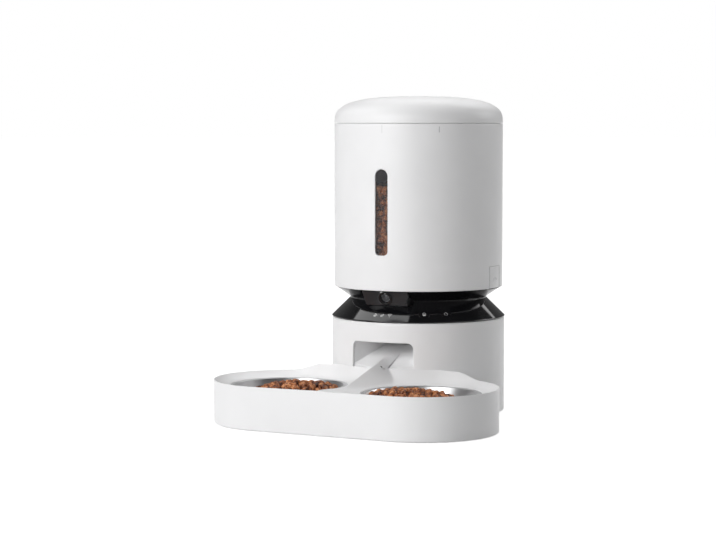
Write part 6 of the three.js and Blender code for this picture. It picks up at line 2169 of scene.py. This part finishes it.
front_reach = BASE_RADIUS + OVERRUN
inner_reach = BASE_RADIUS - BASE_WALL
divider = loft("divider", [
    wedge_section(reach) for reach in spread([WEDGE_BACK, CREST_REACH * MM, front_reach], SECTION_STEP)
])
carve(divider, box_piece(
    "plug", (-TAB_HALF, AXIS_Y - front_reach, tab_low.z),
    (TAB_HALF, AXIS_Y - inner_reach, chute_floor(inner_reach) + 2 * GAP),
), operation="UNION")
inside = upright_rod("inside", BASE_RADIUS + GAP / 3, 0, CUT_TOP, sides=ROUND_SIDES)
carve(divider, inside, operation="INTERSECT")
carve(divider, box_piece(
    "tab", (-TAB_HALF, tab_low.y, tab_low.z), (TAB_HALF, AXIS_Y - inner_reach - GAP, tab_low.z + TAB_WALL),
), operation="UNION")
groove_ends = (WEDGE_BACK - OVERRUN, BASE_RADIUS - GAP)
grooves = [loft("groove", [groove_section(side, reach) for reach in groove_ends]) for side in (-1, 1)]
carve(divider, *grooves, upright_rod("hole", TAB_HOLE, 0, CUT_TOP, TAB_SCREW))
settle(divider, CREST_ANGLE)
hand_over(divider, "tray", "white_plastic", white_plastic, "food_divider")

# %% [markdown]
# The chute's floor is cut round where it meets the base's wall, so at both corners of the outlet a
# dark gap would show below it. A thin sill on the inside of the wall closes it.

# %% Sills beside the divider
SILL_TURNS = (7.5, 23.2)
SILL_TURN_STEP = 1.0
SILL_LOW = 50 * MM
SILL_WALL = 0.8 * MM


def sill(side):
    outer = inner_reach - GAP
    inner = outer - SILL_WALL
    sections = []
    for turn in spread([side * turn for turn in SILL_TURNS], SILL_TURN_STEP):
        top = chute_floor(inner * math.cos(math.radians(turn))) - GAP / 3
        sections.append([
            tuple(on_axis(radius, turn, height))
            for radius, height in ((inner, SILL_LOW), (outer, SILL_LOW), (outer, top), (inner, top))
        ])
    return loft("sill", sections)


sills = joined("chute_sills", sill(-1), sill(1))
hand_over(sills, "base", "white_plastic", white_plastic)

# %% [markdown]
# Last come all the nodes that no finer piece stands for. Each takes the finish of its material in
# the frame, but for two: the camera's housing is satin, and the light guide is smoked.

# %% Everything else in its own finish
for node, shape in nodes.items():
    if not shape.hide_render:
        slot = shape.data.materials[0].name
        piece = fine_copy(node, FILLETS.get(node, 0.0))
        hand_over(piece, node_body[node], slot, own_finish.get(node, finish_of_slot[slot]), node)

# %% [markdown]
# ## Studio
#
# A white floor runs far back and a white world stands behind it, so no corner shows. Both give off
# light of their own that only the camera, mirrors and clear plates see, so they stay white without
# lighting the feeder.

# %% Rays that see the studio's own white
def seen_rays(tree):
    """1 for a ray that the camera, a gloss or a clear plate sends, 0 for light that falls."""
    path = tree.nodes.new("ShaderNodeLightPath")
    mirror = shader_maths(tree, "MAXIMUM", path.outputs["Is Glossy Ray"], path.outputs["Is Transmission Ray"])
    return path.outputs["Is Camera Ray"], mirror


def shader_maths(tree, operation, first, second):
    node = tree.nodes.new("ShaderNodeMath")
    node.operation = operation
    for socket, value in zip(node.inputs, (first, second)):
        if isinstance(value, bpy.types.NodeSocket):
            tree.links.new(value, socket)
        else:
            socket.default_value = value
    return node.outputs[0]


def ramp_between(tree, value, start, end, low, high):
    node = tree.nodes.new("ShaderNodeMapRange")
    node.interpolation_type = "SMOOTHSTEP"
    for label, amount in (("From Min", start), ("From Max", end), ("To Min", low), ("To Max", high)):
        node.inputs[label].default_value = amount
    tree.links.new(value, node.inputs["Value"])
    return node.outputs["Result"]


# %% [markdown]
# The floor is a wide disc. Its own light is a little weaker near the feeder, so that the shadow at
# the feeder's foot shows, and full farther away.

# %% Floor
FLOOR_REACH = 40.0
FLOOR_WHITE = 0.5
FLOOR_CLOUD = 300 * MM
FLOOR_PALE = 0.51
FLOOR_ROUGHNESS = 0.6
FLOOR_SHINE = 0.1
FLOOR_GLOW_NEAR = 0.8
FLOOR_GLOW_FAR = 1.0
GLOW_START = 0.5
GLOW_END = 4.0


def floor_finish():
    finish = Finish("studio_floor", (FLOOR_WHITE,) * 3, FLOOR_ROUGHNESS)
    finish.clouded(FLOOR_CLOUD, (FLOOR_WHITE,) * 3, (FLOOR_PALE,) * 3)
    finish.shader.inputs["Specular IOR Level"].default_value = FLOOR_SHINE
    tree = finish.tree
    length = tree.nodes.new("ShaderNodeVectorMath")
    length.operation = "LENGTH"
    tree.links.new(finish.place, length.inputs[0])
    glow_level = ramp_between(
        tree, length.outputs["Value"], GLOW_START, GLOW_END, FLOOR_GLOW_NEAR, FLOOR_GLOW_FAR,
    )
    camera_ray, mirror_ray = seen_rays(tree)
    seen = shader_maths(tree, "MAXIMUM", camera_ray, mirror_ray)
    glow = tree.nodes.new("ShaderNodeEmission")
    tree.links.new(shader_maths(tree, "MULTIPLY", seen, glow_level), glow.inputs["Strength"])
    total = tree.nodes.new("ShaderNodeAddShader")
    tree.links.new(finish.shader.outputs[0], total.inputs[0])
    tree.links.new(glow.outputs[0], total.inputs[1])
    tree.links.new(total.outputs[0], tree.nodes["Material Output"].inputs["Surface"])
    return finish.material


floor = lathe("studio_floor", rod_outline(FLOOR_REACH, -OVERRUN, 0), SMALL_SIDES)
floor.data.materials.append(floor_finish())

# %% [markdown]
# The world is plain white for the camera and almost dark as a lamp. In mirrors and behind clear
# plates it is grey, and darker overhead, which gives the gloss of the feeder its soft gradients.

# %% World
AMBIENT = 0.015
SKY_LOW = 0.16
SKY_HIGH = 0.04
SKY_START = 0.35
SKY_END = 0.75


def studio_world():
    world = bpy.data.worlds.new("studio")
    scene.world = world
    world.use_nodes = True
    tree = world.node_tree
    backdrop = tree.nodes["Background"]
    backdrop.inputs["Color"].default_value = (1, 1, 1, 1)
    direction = tree.nodes.new("ShaderNodeTexCoord")
    height = tree.nodes.new("ShaderNodeSeparateXYZ")
    tree.links.new(direction.outputs["Generated"], height.inputs[0])
    sky = ramp_between(tree, height.outputs["Z"], SKY_START, SKY_END, SKY_LOW, SKY_HIGH)
    camera_ray, mirror_ray = seen_rays(tree)
    mirrored = shader_maths(tree, "MULTIPLY", mirror_ray, sky)
    seen = shader_maths(tree, "MAXIMUM", camera_ray, mirrored)
    strength = shader_maths(tree, "MAXIMUM", seen, AMBIENT)
    tree.links.new(strength, backdrop.inputs["Strength"])


studio_world()

# %% [markdown]
# Four soft lamps light the feeder. The key is wide and stands at the left of the front, and the rim
# lamp at the back right brightens the turned-away side. One hangs over the floor at the left, and
# one stands high behind and draws a bright band over the lid. Places, sizes and aims are in metres
# from the base's axis.

# %% Lamps
MIDDLE_AIM = (0, 0, 0.17)
LAMPS = (
    ("key", (-0.55, -2.15, 0.95), 1.9, 1.4, 47, (0, 0, 0.12)),
    ("rim", (1.6, 1.5, 1.15), 1.2, 1.2, 22, MIDDLE_AIM),
    ("overhead", (-1.3, 0.1, 2.25), 2.4, 1.3, 26, (-1.3, 0.1, 0)),
    ("lid_back", (-0.3, 1.9, 1.9), 2.2, 1.4, 20, (0, 0, 0.33)),
)


def softbox(name, place, wide, tall, power, aim):
    """A lamp at a place that is given from the base's axis, turned to what it lights."""
    lamp_data = bpy.data.lights.new(name, "AREA")
    lamp_data.shape = "RECTANGLE"
    lamp_data.size = wide
    lamp_data.size_y = tall
    lamp_data.energy = power
    lamp = bpy.data.objects.new(name, lamp_data)
    lamp.location = Vector(place) + Vector((0, AXIS_Y, 0))
    away = Vector(place) - Vector(aim)
    lamp.rotation_euler = away.to_track_quat("Z", "Y").to_euler()
    scene.collection.objects.link(lamp)


for lamp in LAMPS:
    softbox(*lamp)
scene.view_settings.view_transform = "Standard"
